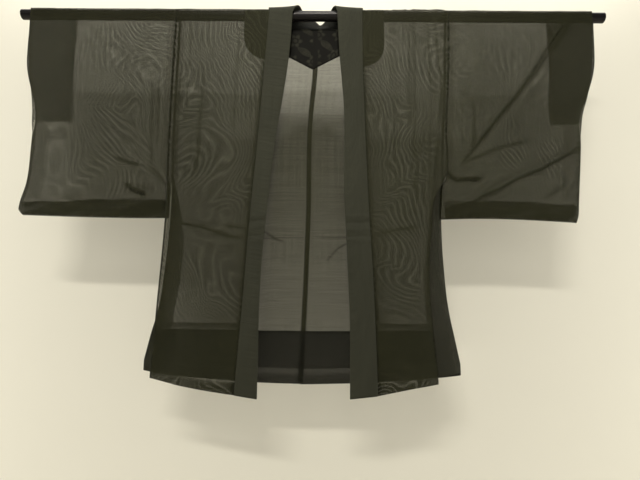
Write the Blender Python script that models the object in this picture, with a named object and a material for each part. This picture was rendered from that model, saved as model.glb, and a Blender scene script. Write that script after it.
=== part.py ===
"""A man's unlined summer haori of black silk gauze, hung on a black lacquered rod.

Its shoulders and sleeves lie over the rod, and its two layers hang down on either side.

The origin is the middle of the rod's axis. +X is the wearer's left, +Y the garment's back and +Z up.
A drop is a height below the rod's axis, and an out is a distance from the middle, towards a side.
Each panel is a grid of points on the cloth's middle surface, and a Solidify modifier makes it a wall.
"""

import math

import bpy
import numpy as np

# The rod.
ROD_RADIUS = 0.012
ROD_LENGTH = 1.400
ROD_SIDES = 48

# The cloth.
WALL = 0.001
SEAM_GAP = 0.0003
LAYER_STEP = 0.00135
PANEL_RADIUS = 0.0145
ARC_STEPS = 8

# The garment's levels, as drops.
NECK_CUT = 0.025
MOUTH_END = 0.27
ARMHOLE_END = 0.40
SLEEVE_END = 0.496
TURNUP_TOP = 0.728
GUSSET_END = 0.836
SLEEVE_LEVELS = (0.0, NECK_CUT, 0.07, 0.13, 0.20, MOUTH_END, 0.335, ARMHOLE_END, 0.45, 0.48)
LOWER_BODY_STEPS = 4
TURNUP_STEPS = 3
TURNUP_SIDE_SHORT = 0.4

# How far the body's two layers have swung apart at the hem, and from which drop.
SWING_START = 0.25
FRONT_SWING = 0.024
BACK_SWING = 0.013
LONGEST_DROP = 0.87

# The sleeve's two layers come together towards its bottom.
SLEEVE_BOTTOM_DEPTH = 0.006

# Columns, as shares of the way from the collar to the side, and from the middle to the neck point.
SIDE_SHARES = (0.0, 0.13, 0.26, 0.38, 0.49, 0.59, 0.68, 0.76, 0.84, 0.92, 1.0)
NECK_SHARES = (0.0, 0.5)
SLEEVE_SHARES = (0.0, 0.1, 0.2, 0.31, 0.42, 0.53, 0.63, 0.68, 0.78, 0.89, 1.0)
LINING_COLUMN = 2
FACING_COLUMN = 7
FACING_EDGE_SHORT = 0.02

COLLAR_THICKNESS = 0.0024
COLLAR_OVERLAP = 0.004
COLLAR_STEP = 0.0028
COLLAR_SHARES = (0.0, 0.33, 0.67, 1.0)

# Each table gives (drop, out) for one edge.
ARMHOLE = {
    "right": ((0.00, 0.3255), (0.34, 0.3260), (0.40, 0.3245), (0.50, 0.3245)),
    "left": ((0.00, 0.3235), (0.18, 0.3160), (0.29, 0.3080), (0.40, 0.3035), (0.50, 0.2990)),
}
SLEEVE_MOUTH = {
    "right": ((0.00, 0.673), (0.16, 0.663), (0.23, 0.652), (0.34, 0.648), (0.42, 0.651), (0.47, 0.662),
              (0.48, 0.6625), (0.50, 0.649)),
    "left": ((0.00, 0.665), (0.15, 0.653), (0.20, 0.643), (0.25, 0.628), (0.33, 0.621), (0.47, 0.606),
             (0.48, 0.605), (0.50, 0.598)),
}
FRONT_SIDE = {
    "right": ((0.00, 0.3255), (0.34, 0.3260), (0.40, 0.3245), (0.50, 0.3230), (0.70, 0.3270), (0.86, 0.3310)),
    "left": ((0.00, 0.3235), (0.18, 0.3160), (0.29, 0.3080), (0.40, 0.3035), (0.45, 0.2770), (0.53, 0.2650),
             (0.61, 0.2570), (0.75, 0.2600), (0.86, 0.2670)),
}
BACK_SIDE = {
    "right": ((0.00, 0.3255), (0.34, 0.3260), (0.40, 0.3245), (0.50, 0.3245), (0.62, 0.3330), (0.69, 0.3410),
              (0.75, 0.3540), (0.84, 0.3690)),
    "left": ((0.00, 0.3235), (0.18, 0.3160), (0.29, 0.3080), (0.40, 0.3035), (0.50, 0.2985), (0.61, 0.3020),
             (0.69, 0.3090), (0.75, 0.3190), (0.84, 0.3330)),
}
COLLAR_SEAM = {
    "right": ((0.00, 0.1040), (0.14, 0.1125), (0.30, 0.1222), (0.46, 0.1328), (0.68, 0.1438), (0.87, 0.1547)),
    "left": ((0.00, 0.1175), (0.15, 0.1178), (0.30, 0.1220), (0.46, 0.1272), (0.66, 0.1358), (0.87, 0.1414)),
}
COLLAR_EDGE = {
    "right": ((0.00, 0.0480), (0.11, 0.0550), (0.21, 0.0670), (0.30, 0.0810), (0.46, 0.0960), (0.61, 0.1060),
              (0.88, 0.1076)),
    "left": ((0.00, 0.0575), (0.12, 0.0641), (0.22, 0.0722), (0.46, 0.0739), (0.59, 0.0792), (0.74, 0.0841),
             (0.88, 0.0835)),
}
# The middle of the back leans towards the wearer's right as it goes down.
BACK_MIDDLE = ((0.00, 0.006), (0.13, 0.005), (0.25, -0.005), (0.50, -0.008), (0.66, -0.013), (0.86, -0.022))

# Each table gives (out, drop) along one hem.
SLEEVE_BOTTOM = {
    "right": ((0.32, 0.4975), (0.38, 0.4980), (0.53, 0.4960), (0.65, 0.4925)),
    "left": ((0.30, 0.4970), (0.36, 0.4950), (0.44, 0.4955), (0.53, 0.4990), (0.60, 0.5030)),
}
FRONT_HEM = {
    "right": ((0.10, 0.883), (0.135, 0.8775), (0.175, 0.8725), (0.23, 0.864), (0.29, 0.852), (0.33, 0.8415)),
    "left": ((0.08, 0.881), (0.106, 0.8805), (0.142, 0.875), (0.197, 0.864), (0.267, 0.851)),
}
BACK_HEM = ((0.00, 0.8625), (0.12, 0.859), (0.25, 0.850), (0.33, 0.842), (0.37, 0.834))

# The largest folds. Each is a soft ridge along a line on one layer, or a trough where its height is negative.
# Columns: top out, top drop, foot out, foot drop, half width, height.
FRONT_FOLDS = {
    "right": ((0.306, 0.02, 0.314, 0.40, 0.020, 0.005), (0.255, 0.05, 0.275, 0.42, 0.022, 0.004),
              (0.200, 0.45, 0.215, 0.86, 0.034, 0.005), (0.270, 0.56, 0.300, 0.86, 0.026, -0.005)),
    "left": ((0.205, 0.00, 0.200, 0.34, 0.020, 0.004), (0.252, -0.02, 0.246, 0.46, 0.021, 0.006),
             (0.298, -0.02, 0.290, 0.42, 0.018, 0.006), (0.175, 0.50, 0.180, 0.86, 0.030, 0.004),
             (0.230, 0.52, 0.236, 0.86, 0.026, 0.004)),
}
BACK_FOLDS = {
    "right": ((0.290, -0.02, 0.300, 0.45, 0.022, 0.005), (0.235, 0.10, 0.245, 0.60, 0.026, 0.004),
              (0.140, 0.35, 0.150, 0.86, 0.036, 0.005), (0.280, 0.60, 0.310, 0.84, 0.028, 0.005)),
    "left": ((0.215, -0.02, 0.210, 0.40, 0.021, 0.005), (0.280, -0.02, 0.272, 0.48, 0.022, 0.006),
             (0.120, 0.30, 0.130, 0.86, 0.036, 0.005), (0.260, 0.58, 0.280, 0.84, 0.028, 0.005)),
}
SLEEVE_FOLDS = {
    "right": ((0.400, 0.10, 0.380, 0.46, 0.040, 0.003), (0.520, 0.05, 0.500, 0.44, 0.045, 0.003),
              (0.640, 0.28, 0.600, 0.47, 0.030, 0.003)),
    "left": ((0.610, 0.03, 0.350, 0.38, 0.030, -0.004), (0.640, 0.05, 0.420, 0.36, 0.032, 0.005),
             (0.615, 0.34, 0.340, 0.48, 0.026, 0.005), (0.400, 0.04, 0.360, 0.30, 0.030, 0.004)),
}

# The gusset's own fold: (drop, out) along it.
GUSSET_FOLD = {
    "right": ((0.40, 0.3150), (0.54, 0.2850), (0.65, 0.2900), (0.84, 0.3180)),
    "left": ((0.40, 0.2990), (0.54, 0.2850), (0.65, 0.2830), (0.84, 0.3050)),
}
GUSSET_SHARES = (0.0, 0.25, 0.5, 0.75, 1.0)

# The shoulder lining's lower edges: its front drop on each side, and (out, drop) along its back.
LINING_FRONT_DROP = {"right": 0.116, "left": 0.131}
LINING_BACK = ((0.00, 0.130), (0.06, 0.098), (0.12, 0.070), (0.20, 0.055))

# The collar round the neck, from the top of the rod to the back: its sewn line and its free edge.
# Columns: sewn out, y, z, then free out, y, z.
COLLAR_NECK = {
    "right": (
        (0.106, -0.0126, 0.0128, 0.0400, -0.0150, 0.0160),
        (0.108, 0.0000, 0.0178, 0.0340, 0.0000, 0.0280),
        (0.108, 0.0132, 0.0122, 0.0290, 0.0160, 0.0310),
        (0.1075, 0.0184, -0.0040, 0.0240, 0.0280, 0.0270),
        (0.105, 0.0192, -0.0230, 0.0185, 0.0335, 0.0200),
        (0.088, 0.0200, -0.0300, 0.0120, 0.0360, 0.0155),
    ),
    "left": (
        (0.119, -0.0126, 0.0128, 0.0540, -0.0150, 0.0150),
        (0.121, 0.0000, 0.0178, 0.0500, 0.0000, 0.0265),
        (0.121, 0.0132, 0.0122, 0.0450, 0.0160, 0.0300),
        (0.1205, 0.0184, -0.0040, 0.0400, 0.0280, 0.0250),
        (0.118, 0.0192, -0.0230, 0.0350, 0.0340, 0.0180),
        (0.100, 0.0200, -0.0300, 0.0290, 0.0360, 0.0100),
    ),
}
# The same columns for the middle of the back, from the wearer's right to the left, with outs signed.
COLLAR_BACK = (
    (-0.050, 0.0204, -0.0300, -0.0040, 0.0370, 0.0125),
    (0.000, 0.0206, -0.0300, 0.0050, 0.0374, 0.0105),
    (0.050, 0.0204, -0.0300, 0.0180, 0.0370, 0.0005),
)
COLLAR_HEM_DROPS = (0.79, 0.84, 0.88)
COLLAR_FREE_STEP = 0.0015

SIGN = {"right": -1.0, "left": 1.0}


def remove_objects():
    for old in list(bpy.data.objects):
        bpy.data.objects.remove(old, do_unlink=True)


def finish(name, colour, roughness, metallic=0.0):
    """A Principled material."""
    material = bpy.data.materials.new(name)
    material.use_nodes = True
    shader = material.node_tree.nodes["Principled BSDF"]
    shader.inputs["Base Color"].default_value = (*colour, 1.0)
    shader.inputs["Roughness"].default_value = roughness
    shader.inputs["Metallic"].default_value = metallic
    return material


def smooth(share):
    """0 before 0, 1 after 1, with a soft rise between."""
    share = np.clip(share, 0.0, 1.0)
    return share * share * (3.0 - 2.0 * share)


def read(table, at):
    """The second column of a table of pairs, at a value of its first."""
    firsts, seconds = zip(*table)
    return np.interp(at, firsts, seconds)


def folds_at(table, out, drop):
    """The height of the folds: each is a bell across its line, fading at its two ends."""
    height = np.zeros(np.broadcast(out, drop).shape)
    for top_out, top_drop, foot_out, foot_drop, half_width, rise in table:
        length = math.hypot(foot_out - top_out, foot_drop - top_drop)
        ahead_out = (foot_out - top_out) / length
        ahead_drop = (foot_drop - top_drop) / length
        along = (out - top_out) * ahead_out + (drop - top_drop) * ahead_drop
        across = (out - top_out) * ahead_drop - (drop - top_drop) * ahead_out
        start = smooth((along + half_width) / (2 * half_width))
        stop = smooth((length + half_width - along) / (2 * half_width))
        height = height + rise * start * stop * np.exp(-((across / half_width) ** 2))
    return height


def body_depth(drop, swing):
    """How far a body layer hangs from the rod's axis."""
    share = (drop - SWING_START) / (LONGEST_DROP - SWING_START)
    return PANEL_RADIUS + swing * smooth(share)


def body_levels():
    """Drops down one layer. The last rows are shares of the way to the hem, so each comes with its share."""
    upper = [(drop, 0.0) for drop in (*SLEEVE_LEVELS, SLEEVE_END)]
    lower = [(SLEEVE_END + (TURNUP_TOP - SLEEVE_END) * step / LOWER_BODY_STEPS, 0.0)
             for step in range(1, LOWER_BODY_STEPS + 1)]
    hem = [(TURNUP_TOP, step / TURNUP_STEPS) for step in range(1, TURNUP_STEPS + 1)]
    return upper + lower + hem


def hang(outs, drop, depth, direction, side):
    """Points of one hanging row. direction is -1 in front of the rod and 1 behind it."""
    return np.stack([SIGN[side] * outs, direction * depth, -drop * np.ones_like(outs)], axis=-1)


def arc_rows(outs, front_fold, back_fold, side):
    """The rows over the rod, from front to back, between the two hanging layers."""
    rows = []
    for step in range(1, ARC_STEPS):
        turn = math.pi * step / ARC_STEPS
        share = step / ARC_STEPS
        radius = PANEL_RADIUS + (1 - share) * front_fold + share * back_fold
        rows.append(np.stack([SIGN[side] * outs, -radius * math.cos(turn), radius * math.sin(turn)], axis=-1))
    return rows


def body_grid(side):
    """One body length: rows from the front hem over the rod to the back hem, columns from the middle out.

    The first columns are the back's neck part, and their cells in front of the neck are cut away.
    """
    shares = np.array(SIDE_SHARES)
    neck = np.array(NECK_SHARES)
    layers = {}
    for layer, swing, edge in (("front", FRONT_SWING, FRONT_SIDE), ("back", BACK_SWING, BACK_SIDE)):
        folds = FRONT_FOLDS[side] if layer == "front" else BACK_FOLDS[side]
        direction = -1.0 if layer == "front" else 1.0
        rows = []
        for level, hem_share in body_levels():
            about = level + (LONGEST_DROP - level) * hem_share
            inner = read(COLLAR_SEAM[side], about) - COLLAR_OVERLAP
            outer = read(edge[side], about) - SEAM_GAP / 2
            outs = inner + (outer - inner) * shares
            middle = SIGN[side] * read(BACK_MIDDLE, about) + SEAM_GAP / 2
            outs = np.concatenate([middle + (inner - middle) * neck, outs])
            hem = read(FRONT_HEM[side], outs) if layer == "front" else read(BACK_HEM, outs)
            drop = level + (hem - level) * hem_share
            fold = folds_at(folds, outs, drop)
            fold = np.where(drop < NECK_CUT, np.maximum(fold, 0.0), fold)
            rows.append(hang(outs, drop, body_depth(drop, swing) + fold, direction, side))
            if level == 0.0:
                layers[layer + " fold"] = fold
                top_outs = outs
        layers[layer] = rows
    over = arc_rows(top_outs, layers["front fold"], layers["back fold"], side)
    return np.array(layers["front"][::-1] + over + layers["back"])


def sleeve_grid(side):
    """One sleeve, a bag round the rod: rows from its bottom up the front, over the rod and down the back."""
    shares = np.array(SLEEVE_SHARES)
    rows = {"front": [], "back": []}
    for drop in SLEEVE_LEVELS:
        inner = read(ARMHOLE[side], drop) + SEAM_GAP / 2 + (WALL / 2 if drop >= ARMHOLE_END else 0.0)
        outs = inner + (read(SLEEVE_MOUTH[side], drop) - inner) * shares
        closing = smooth((drop - 0.1) / (SLEEVE_END - 0.1))
        for layer, swing, direction in (("front", FRONT_SWING, -1.0), ("back", BACK_SWING, 1.0)):
            far = PANEL_RADIUS + (SLEEVE_BOTTOM_DEPTH - PANEL_RADIUS) * closing
            near = far + (body_depth(drop, swing) - far) * (1 - smooth((drop - ARMHOLE_END) / 0.10))
            depth = far + (near - far) * (1 - shares) ** 2
            fold = folds_at(SLEEVE_FOLDS[side], outs, np.full_like(outs, drop))
            fold = np.where(drop < NECK_CUT, np.maximum(fold, 0.0), fold) * (1 if layer == "front" else 0.6)
            rows[layer].append(hang(outs, drop, depth + fold, direction, side))
            if drop == 0.0:
                top_outs, top_fold = outs, fold
    inner = read(ARMHOLE[side], SLEEVE_END) + SEAM_GAP / 2 + WALL / 2
    outs = inner + (read(SLEEVE_MOUTH[side], SLEEVE_END) - inner) * shares
    bottom = hang(outs, read(SLEEVE_BOTTOM[side], outs), np.zeros_like(outs), 1.0, side)
    over = arc_rows(top_outs, top_fold, top_fold, side)
    return np.array([bottom] + rows["front"][::-1] + over + rows["back"])


def moved_in(grid, distance, side):
    """The grid's points moved towards the rod, along the surface's own normals."""
    along_rows = np.gradient(grid, axis=0)
    along_columns = np.gradient(grid, axis=1)
    normal = np.cross(along_columns, along_rows) * SIGN[side]
    normal /= np.linalg.norm(normal, axis=2, keepdims=True)
    return grid - distance * normal


def row_at(drop, front):
    """The body grid's row at a drop, as a number that may lie between two rows."""
    drops = [level for level, share in body_levels() if share == 0.0]
    count = len(body_levels())
    index = np.interp(drop, drops, range(len(drops)))
    return count - 1 - index if front else count - 1 + ARC_STEPS + index


def rows_between(grid, start, end):
    """Part of a grid, from one row number to another in each column, keeping the whole rows between."""
    def at(number):
        low = np.floor(number).astype(int)
        high = np.minimum(low + 1, len(grid) - 1)
        share = (number - low)[:, None]
        columns = np.arange(grid.shape[1])
        return grid[low, columns] * (1 - share) + grid[high, columns] * share

    first = int(math.floor(start.max())) + 1
    last = int(math.ceil(end.min())) - 1
    return np.array([at(start)] + [grid[row] for row in range(first, last + 1)] + [at(end)])


def wall(name, points, faces, material, thickness=WALL):
    """A node: faces on the middle surface, given their thickness by Solidify."""
    mesh = bpy.data.meshes.new(name)
    mesh.from_pydata(points.tolist(), [], faces)
    mesh.materials.append(material)
    node = bpy.data.objects.new(name, mesh)
    bpy.context.collection.objects.link(node)
    thicken = node.modifiers.new("Wall", "SOLIDIFY")
    thicken.thickness = thickness
    thicken.offset = 0.0
    thicken.use_even_offset = True
    thicken.use_quality_normals = True
    return node


def cells(rows, columns, side, keep=None, closed=False):
    """The grid's quads, outer face out, left out where keep(row, column) is false."""
    faces = []
    for row in range(rows if closed else rows - 1):
        for column in range(columns - 1):
            if keep is None or keep(row, column):
                above = (row + 1) % rows
                quad = [row * columns + column, above * columns + column,
                        above * columns + column + 1, row * columns + column + 1]
                faces.append(quad if side == "right" else quad[::-1])
    return faces


def used_only(points, faces):
    """The points that the faces use, and the faces renumbered."""
    used = sorted({corner for face in faces for corner in face})
    place = {old: new for new, old in enumerate(used)}
    return points[used], [[place[corner] for corner in face] for face in faces]


def gauze(name):
    return finish(f"gauze_{name}", (0.018, 0.017, 0.014), 0.7)


def build_rod():
    bpy.ops.mesh.primitive_cylinder_add(vertices=ROD_SIDES, radius=ROD_RADIUS, depth=ROD_LENGTH)
    rod = bpy.context.object
    rod.name = "rod"
    rod.rotation_euler = (0.0, math.pi / 2, 0.0)
    rod.data.materials.append(finish("black_lacquer", (0.010, 0.009, 0.009), 0.18))


def build_body(side, grid):
    neck = len(NECK_SHARES)
    cut_row = int(row_at(NECK_CUT, front=False))
    faces = cells(len(grid), grid.shape[1], side, keep=lambda row, column: column >= neck or row >= cut_row)
    points, faces = used_only(grid.reshape(-1, 3), faces)
    wall(f"body_{side}", points, faces, gauze(f"body_{side}"))


def build_sleeve(side, grid):
    rows, columns = grid.shape[:2]
    faces = cells(rows, columns, side, closed=True)
    levels = len(SLEEVE_LEVELS)
    for column, open_until in ((0, ARMHOLE_END), (columns - 1, MOUTH_END)):
        closed_levels = [level for level in range(levels) if SLEEVE_LEVELS[level] >= open_until]
        for level in closed_levels:
            front = levels - level
            back = levels + ARC_STEPS - 1 + level + 1
            strip = [front * columns + column, (front - 1) * columns + column,
                     ((back + 1) % rows) * columns + column, back * columns + column]
            if level == levels - 1:
                strip = strip[:2] + strip[3:]
            facing_out = (column == 0) == (side == "right")
            faces.append(strip if facing_out else strip[::-1])
    wall(f"sleeve_{side}", grid.reshape(-1, 3), faces, gauze(f"sleeve_{side}"))


def build_facing(side, grid):
    """The lining strip inside the sleeve's mouth, down both layers to the mouth's end."""
    inside = moved_in(grid, LAYER_STEP, side)
    levels = len(SLEEVE_LEVELS)
    mouth_level = SLEEVE_LEVELS.index(MOUTH_END)
    first = levels - mouth_level
    last = levels + ARC_STEPS + mouth_level
    part = inside[first:last + 1, FACING_COLUMN:].copy()
    part[:, -1] += (part[:, -2] - part[:, -1]) * FACING_EDGE_SHORT
    faces = cells(part.shape[0], part.shape[1], side)
    wall(f"mouth_facing_{side}", part.reshape(-1, 3), faces,
         finish(f"silk_facing_{side}", (0.014, 0.013, 0.011), 0.6))


def build_turnup(side, grid, front):
    """The hem turned up inside a body layer. It stops short of the side and the middle by a seam's gap."""
    inside = moved_in(grid, LAYER_STEP, side)
    layer = "front" if front else "back"
    part = inside[:TURNUP_STEPS + 1] if front else inside[-TURNUP_STEPS - 1:]
    part = part[:, len(NECK_SHARES) if front else 0:].copy()
    part[:, -1] += (part[:, -2] - part[:, -1]) * TURNUP_SIDE_SHORT
    faces = cells(part.shape[0], part.shape[1], side)
    wall(f"turnup_{layer}_{side}", part.reshape(-1, 3), faces, gauze(f"turnup_{layer}_{side}"))


def build_gusset(side, grid):
    """The narrow side panel between the front's and the back's side edges, folded along its middle."""
    count = len(body_levels())
    first = SLEEVE_LEVELS.index(ARMHOLE_END)
    rows = []
    for level in range(first, count):
        front_edge = grid[count - 1 - level, -1]
        back_edge = grid[count - 1 + ARC_STEPS + level, -1]
        fold = (front_edge + back_edge) / 2
        fold[0] = SIGN[side] * read(GUSSET_FOLD[side], -fold[2])
        share = np.array(GUSSET_SHARES)[:, None]
        near_front = front_edge + (fold - front_edge) * np.minimum(2 * share, 1.0)
        row = near_front + (back_edge - fold) * np.maximum(2 * share - 1.0, 0.0)
        row[0] += (row[1] - row[0]) / np.linalg.norm(row[1] - row[0]) * 2 * WALL
        row[-1] += (row[-2] - row[-1]) / np.linalg.norm(row[-2] - row[-1]) * 2 * WALL
        rows.append(row)
    points = np.array(rows)
    points[:, :, 2] = np.maximum(points[:, :, 2], -GUSSET_END)
    faces = cells(points.shape[0], points.shape[1], side)
    wall(f"gusset_{side}", points.reshape(-1, 3), faces, gauze(f"gusset_{side}"))


def build_lining(grids):
    """The shoulder lining: two front parts and the pointed back part, in one piece with the neck left open."""
    neck = len(NECK_SHARES)
    near = neck + LINING_COLUMN + 1
    inside = {side: moved_in(grids[side], LAYER_STEP, side)[:, :near] for side in grids}
    # The right part runs from its side to the middle, and the left part goes on from there to its own side.
    whole = np.concatenate([inside["right"][:, :0:-1], inside["left"]], axis=1)
    middle = near - 1
    outs = np.abs(whole[int(row_at(0.0, front=False)), :, 0])
    start = np.full(len(outs), row_at(LINING_FRONT_DROP["right"], front=True))
    start[middle:] = row_at(LINING_FRONT_DROP["left"], front=True)
    points = rows_between(whole, start, row_at(read(LINING_BACK, outs), front=False))
    rows, columns = points.shape[:2]
    first_row = int(math.floor(start.max()))
    cut_row = int(row_at(NECK_CUT, front=False)) - first_row
    faces = cells(rows, columns, "left",
                  keep=lambda row, column: row >= cut_row or not middle - neck <= column < middle + neck)
    points, faces = used_only(points.reshape(-1, 3), faces)
    wall("shoulder_lining", points, faces, finish("figured_satin", (0.020, 0.018, 0.016), 0.4))


def collar_lines(side):
    """The collar's sewn line and free edge down one front, from the hem to the rod."""
    drops = [level for level, share in body_levels() if share == 0.0] + list(COLLAR_HEM_DROPS)
    sewn, free = [], []
    for drop in drops[::-1]:
        sewn_out = read(COLLAR_SEAM[side], drop)
        fold = float(folds_at(FRONT_FOLDS[side], sewn_out, drop))
        depth = body_depth(drop, FRONT_SWING) + fold + COLLAR_STEP
        free_out = read(COLLAR_EDGE[side], drop)
        at_hem = drop == COLLAR_HEM_DROPS[-1]
        sewn_drop = read(FRONT_HEM[side], sewn_out) if at_hem else drop
        free_drop = read(FRONT_HEM[side], free_out) if at_hem else drop
        sewn.append((SIGN[side] * sewn_out, -depth, -sewn_drop))
        free.append((SIGN[side] * free_out, -depth - COLLAR_FREE_STEP, -free_drop))
    for sewn_out, sewn_y, sewn_z, free_out, free_y, free_z in COLLAR_NECK[side]:
        sewn.append((SIGN[side] * sewn_out, sewn_y, sewn_z))
        free.append((SIGN[side] * free_out, free_y, free_z))
    return sewn, free


def build_collar():
    """One folded band: up the right front, round the back of the neck and down the left front."""
    right_sewn, right_free = collar_lines("right")
    left_sewn, left_free = collar_lines("left")
    back_sewn = [row[:3] for row in COLLAR_BACK]
    back_free = [row[3:] for row in COLLAR_BACK]
    sewn = np.array(right_sewn + back_sewn + left_sewn[::-1])
    free = np.array(right_free + back_free + left_free[::-1])
    ahead = np.gradient((sewn + free) / 2, axis=0)
    outward = np.cross(free - sewn, ahead)
    outward /= np.linalg.norm(outward, axis=1, keepdims=True)
    shares = np.array(COLLAR_SHARES)[None, :, None]
    middle = sewn[:, None] + (free - sewn)[:, None] * shares
    offset = outward[:, None] * COLLAR_THICKNESS / 2
    points = np.concatenate([middle + offset, (middle - offset)[:, ::-1]], axis=1)
    stations, around = points.shape[:2]
    faces = []
    for station in range(stations - 1):
        for corner in range(around):
            after = (corner + 1) % around
            faces.append([station * around + corner, station * around + after,
                          (station + 1) * around + after, (station + 1) * around + corner])
    faces.append(list(range(around))[::-1])
    faces.append([(stations - 1) * around + corner for corner in range(around)])
    mesh = bpy.data.meshes.new("collar")
    mesh.from_pydata(points.reshape(-1, 3).tolist(), [], faces)
    mesh.materials.append(finish("gauze_collar", (0.022, 0.022, 0.021), 0.65))
    node = bpy.data.objects.new("collar", mesh)
    bpy.context.collection.objects.link(node)


remove_objects()
build_rod()
body_grids = {side: body_grid(side) for side in ("right", "left")}
for side, grid in body_grids.items():
    sleeve = sleeve_grid(side)
    build_body(side, grid)
    build_sleeve(side, sleeve)
    build_facing(side, sleeve)
    build_turnup(side, grid, front=True)
    build_turnup(side, grid, front=False)
    build_gusset(side, grid)
build_lining(body_grids)
build_collar()
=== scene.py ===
"""The looks of a man's unlined summer haori of black silk gauze, hung on a black lacquered rod.

All sizes are in metres. The origin is the middle of the rod's axis, +X is the wearer's left, +Y is the
garment's back and +Z is up. A drop is a height below the rod's axis, and an out is a distance from the
middle, towards a side. Every sheet lies on one of two forms, the body's or the sleeve's, at a place given by
its out and its path. A path is negative down the front, runs over the rod from 0 to OVER_ROD, and goes on
down the back.
"""

import math

import bmesh
import bpy
import numpy as np
from mathutils import Matrix, Vector


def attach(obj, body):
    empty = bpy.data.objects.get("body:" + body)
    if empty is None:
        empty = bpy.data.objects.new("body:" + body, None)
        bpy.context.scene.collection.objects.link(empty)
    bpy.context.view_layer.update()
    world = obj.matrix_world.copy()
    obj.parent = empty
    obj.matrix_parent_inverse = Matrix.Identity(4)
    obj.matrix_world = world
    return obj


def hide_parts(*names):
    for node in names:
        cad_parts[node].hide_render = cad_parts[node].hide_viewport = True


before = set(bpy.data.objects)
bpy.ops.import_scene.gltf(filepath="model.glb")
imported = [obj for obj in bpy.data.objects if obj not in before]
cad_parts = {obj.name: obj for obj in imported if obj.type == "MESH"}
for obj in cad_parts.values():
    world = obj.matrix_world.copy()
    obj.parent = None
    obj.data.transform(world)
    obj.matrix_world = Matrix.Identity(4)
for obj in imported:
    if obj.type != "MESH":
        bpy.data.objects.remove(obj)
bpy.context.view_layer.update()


# The rod.
# A turned wooden rod 24 mm thick and 1.4 m long, under polished black lacquer.
# It carries the garment by its shoulders and sleeves, and a stand holds its two ends.

class Value:
    """A number that varies over a surface. Each sign in a sum written with it adds one Math node."""

    def __init__(self, socket):
        self.socket = socket

    def __add__(self, other):
        return maths("ADD", self, other)

    def __sub__(self, other):
        return maths("SUBTRACT", self, other)

    def __rsub__(self, other):
        return maths("SUBTRACT", other, self)

    def __mul__(self, other):
        return maths("MULTIPLY", self, other)


def give(entry, value):
    """Links a node's input to what another node puts out, or sets it to a plain number, place or colour."""
    if isinstance(value, Value):
        value = value.socket
    if isinstance(value, bpy.types.NodeSocket):
        entry.id_data.links.new(value, entry)
    elif entry.type == "RGBA":
        entry.default_value = (*value, 1.0)
    else:
        entry.default_value = value


def node(tree, kind, settings=(), inputs=()):
    """Adds a node with its settings, and gives it its inputs, by name or number."""
    made = tree.nodes.new(kind)
    for key, value in dict(settings).items():
        setattr(made, key, value)
    for key, value in dict(inputs).items():
        give(made.inputs[key], value)
    return made


def maths(operation, *parts):
    """One Math node on one or two parts, each a Value or a plain number."""
    tree = next(part.socket.id_data for part in parts if isinstance(part, Value))
    return Value(node(tree, "ShaderNodeMath", {"operation": operation}, enumerate(parts)).outputs[0])


def ranged(value, low, high, to_low=0.0, to_high=1.0):
    """A value's place between low and high, clamped and rescaled."""
    parts = enumerate((value, low, high, to_low, to_high))
    return Value(node(value.socket.id_data, "ShaderNodeMapRange", (), parts).outputs[0])


def split(place):
    """The three parts of a place."""
    return [Value(part) for part in node(place.id_data, "ShaderNodeSeparateXYZ", (), {0: place}).outputs]


def noise(place, scale, detail, roughness=0.5, distortion=0.0):
    """A soft noise with scale hills to the metre. A scale of three numbers stretches it along the axes."""
    tree = place.id_data
    if isinstance(scale, tuple):
        place = node(tree, "ShaderNodeMapping", (), {"Scale": scale, "Vector": place}).outputs[0]
        scale = 1.0
    made = node(tree, "ShaderNodeTexNoise", (), {"Vector": place, "Scale": scale, "Detail": detail,
                                                 "Roughness": roughness, "Distortion": distortion})
    return Value(made.outputs[0])


def between(share, first, second):
    """A colour that goes from the first to the second as share goes from 0 to 1."""
    made = node(share.socket.id_data, "ShaderNodeMix", {"data_type": "RGBA"}, {0: share, 6: first, 7: second})
    return made.outputs[2]


def scaled(colour, share):
    """A colour, or a place, times a number."""
    made = node(colour.id_data, "ShaderNodeVectorMath", {"operation": "SCALE"}, {0: colour, "Scale": share})
    return made.outputs[0]


def new_material(name, finish):
    """A material with its shader's plain finish: returns it, its node tree and the shader's inputs."""
    material = bpy.data.materials.new(name)
    material.use_nodes = True
    shader = material.node_tree.nodes["Principled BSDF"]
    for entry, value in finish.items():
        give(shader.inputs[entry], value)
    return material, material.node_tree, shader.inputs


def lacquer():
    """Deep black lacquer with a clear coat. Fine rubbing marks run along the rod."""
    black = (0.006, 0.005, 0.005)
    material, tree, shader = new_material("polished_black_lacquer", {
        "Base Color": black, "Roughness": 0.16, "Specular IOR Level": 0.20,
        "Specular Tint": (1.0, 0.93, 0.84), "Coat Weight": 0.04, "Coat Roughness": 0.15})
    place = node(tree, "ShaderNodeTexCoord").outputs["Object"]
    rubbed = noise(place, (6.0, 220.0, 220.0), 3.0)
    worn = noise(place, 9.0, 4.0)
    marks = ranged(rubbed, 0.45, 0.75) * worn
    give(shader["Roughness"], ranged(marks, 0.0, 0.6, 0.24, 0.42))
    give(shader["Base Color"], between(marks, black, (0.020, 0.017, 0.015)))
    return material


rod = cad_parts["rod"]
rod.material_slots[0].material = lacquer()


# The two body lengths.
# Each is one width of black silk gauze, cut without a shoulder seam: it runs from the front hem over the
# shoulder to the back hem. The two are sewn together down the middle of the back, and the neck is cut out
# between them.

SIGN = {"right": -1.0, "left": 1.0}
CLOTH = 0.0004
WELD = 0.00002
SEAM_GAP = 0.00006
PANEL_RADIUS = 0.0145
OVER_ROD = math.pi * PANEL_RADIUS
OVER_STEPS = 18
NECK_CUT = 0.025
ARMHOLE_END = 0.40
TURNUP_TOP = 0.728
LONGEST_DROP = 0.87
COLLAR_OVERLAP = 0.004
SWING = {"front": 0.024, "back": 0.013}
SWING_START = 0.25
FOLD_ROOM = 0.015
BODY_TURN = {"front": 0.0, "back": 2.0}

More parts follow.
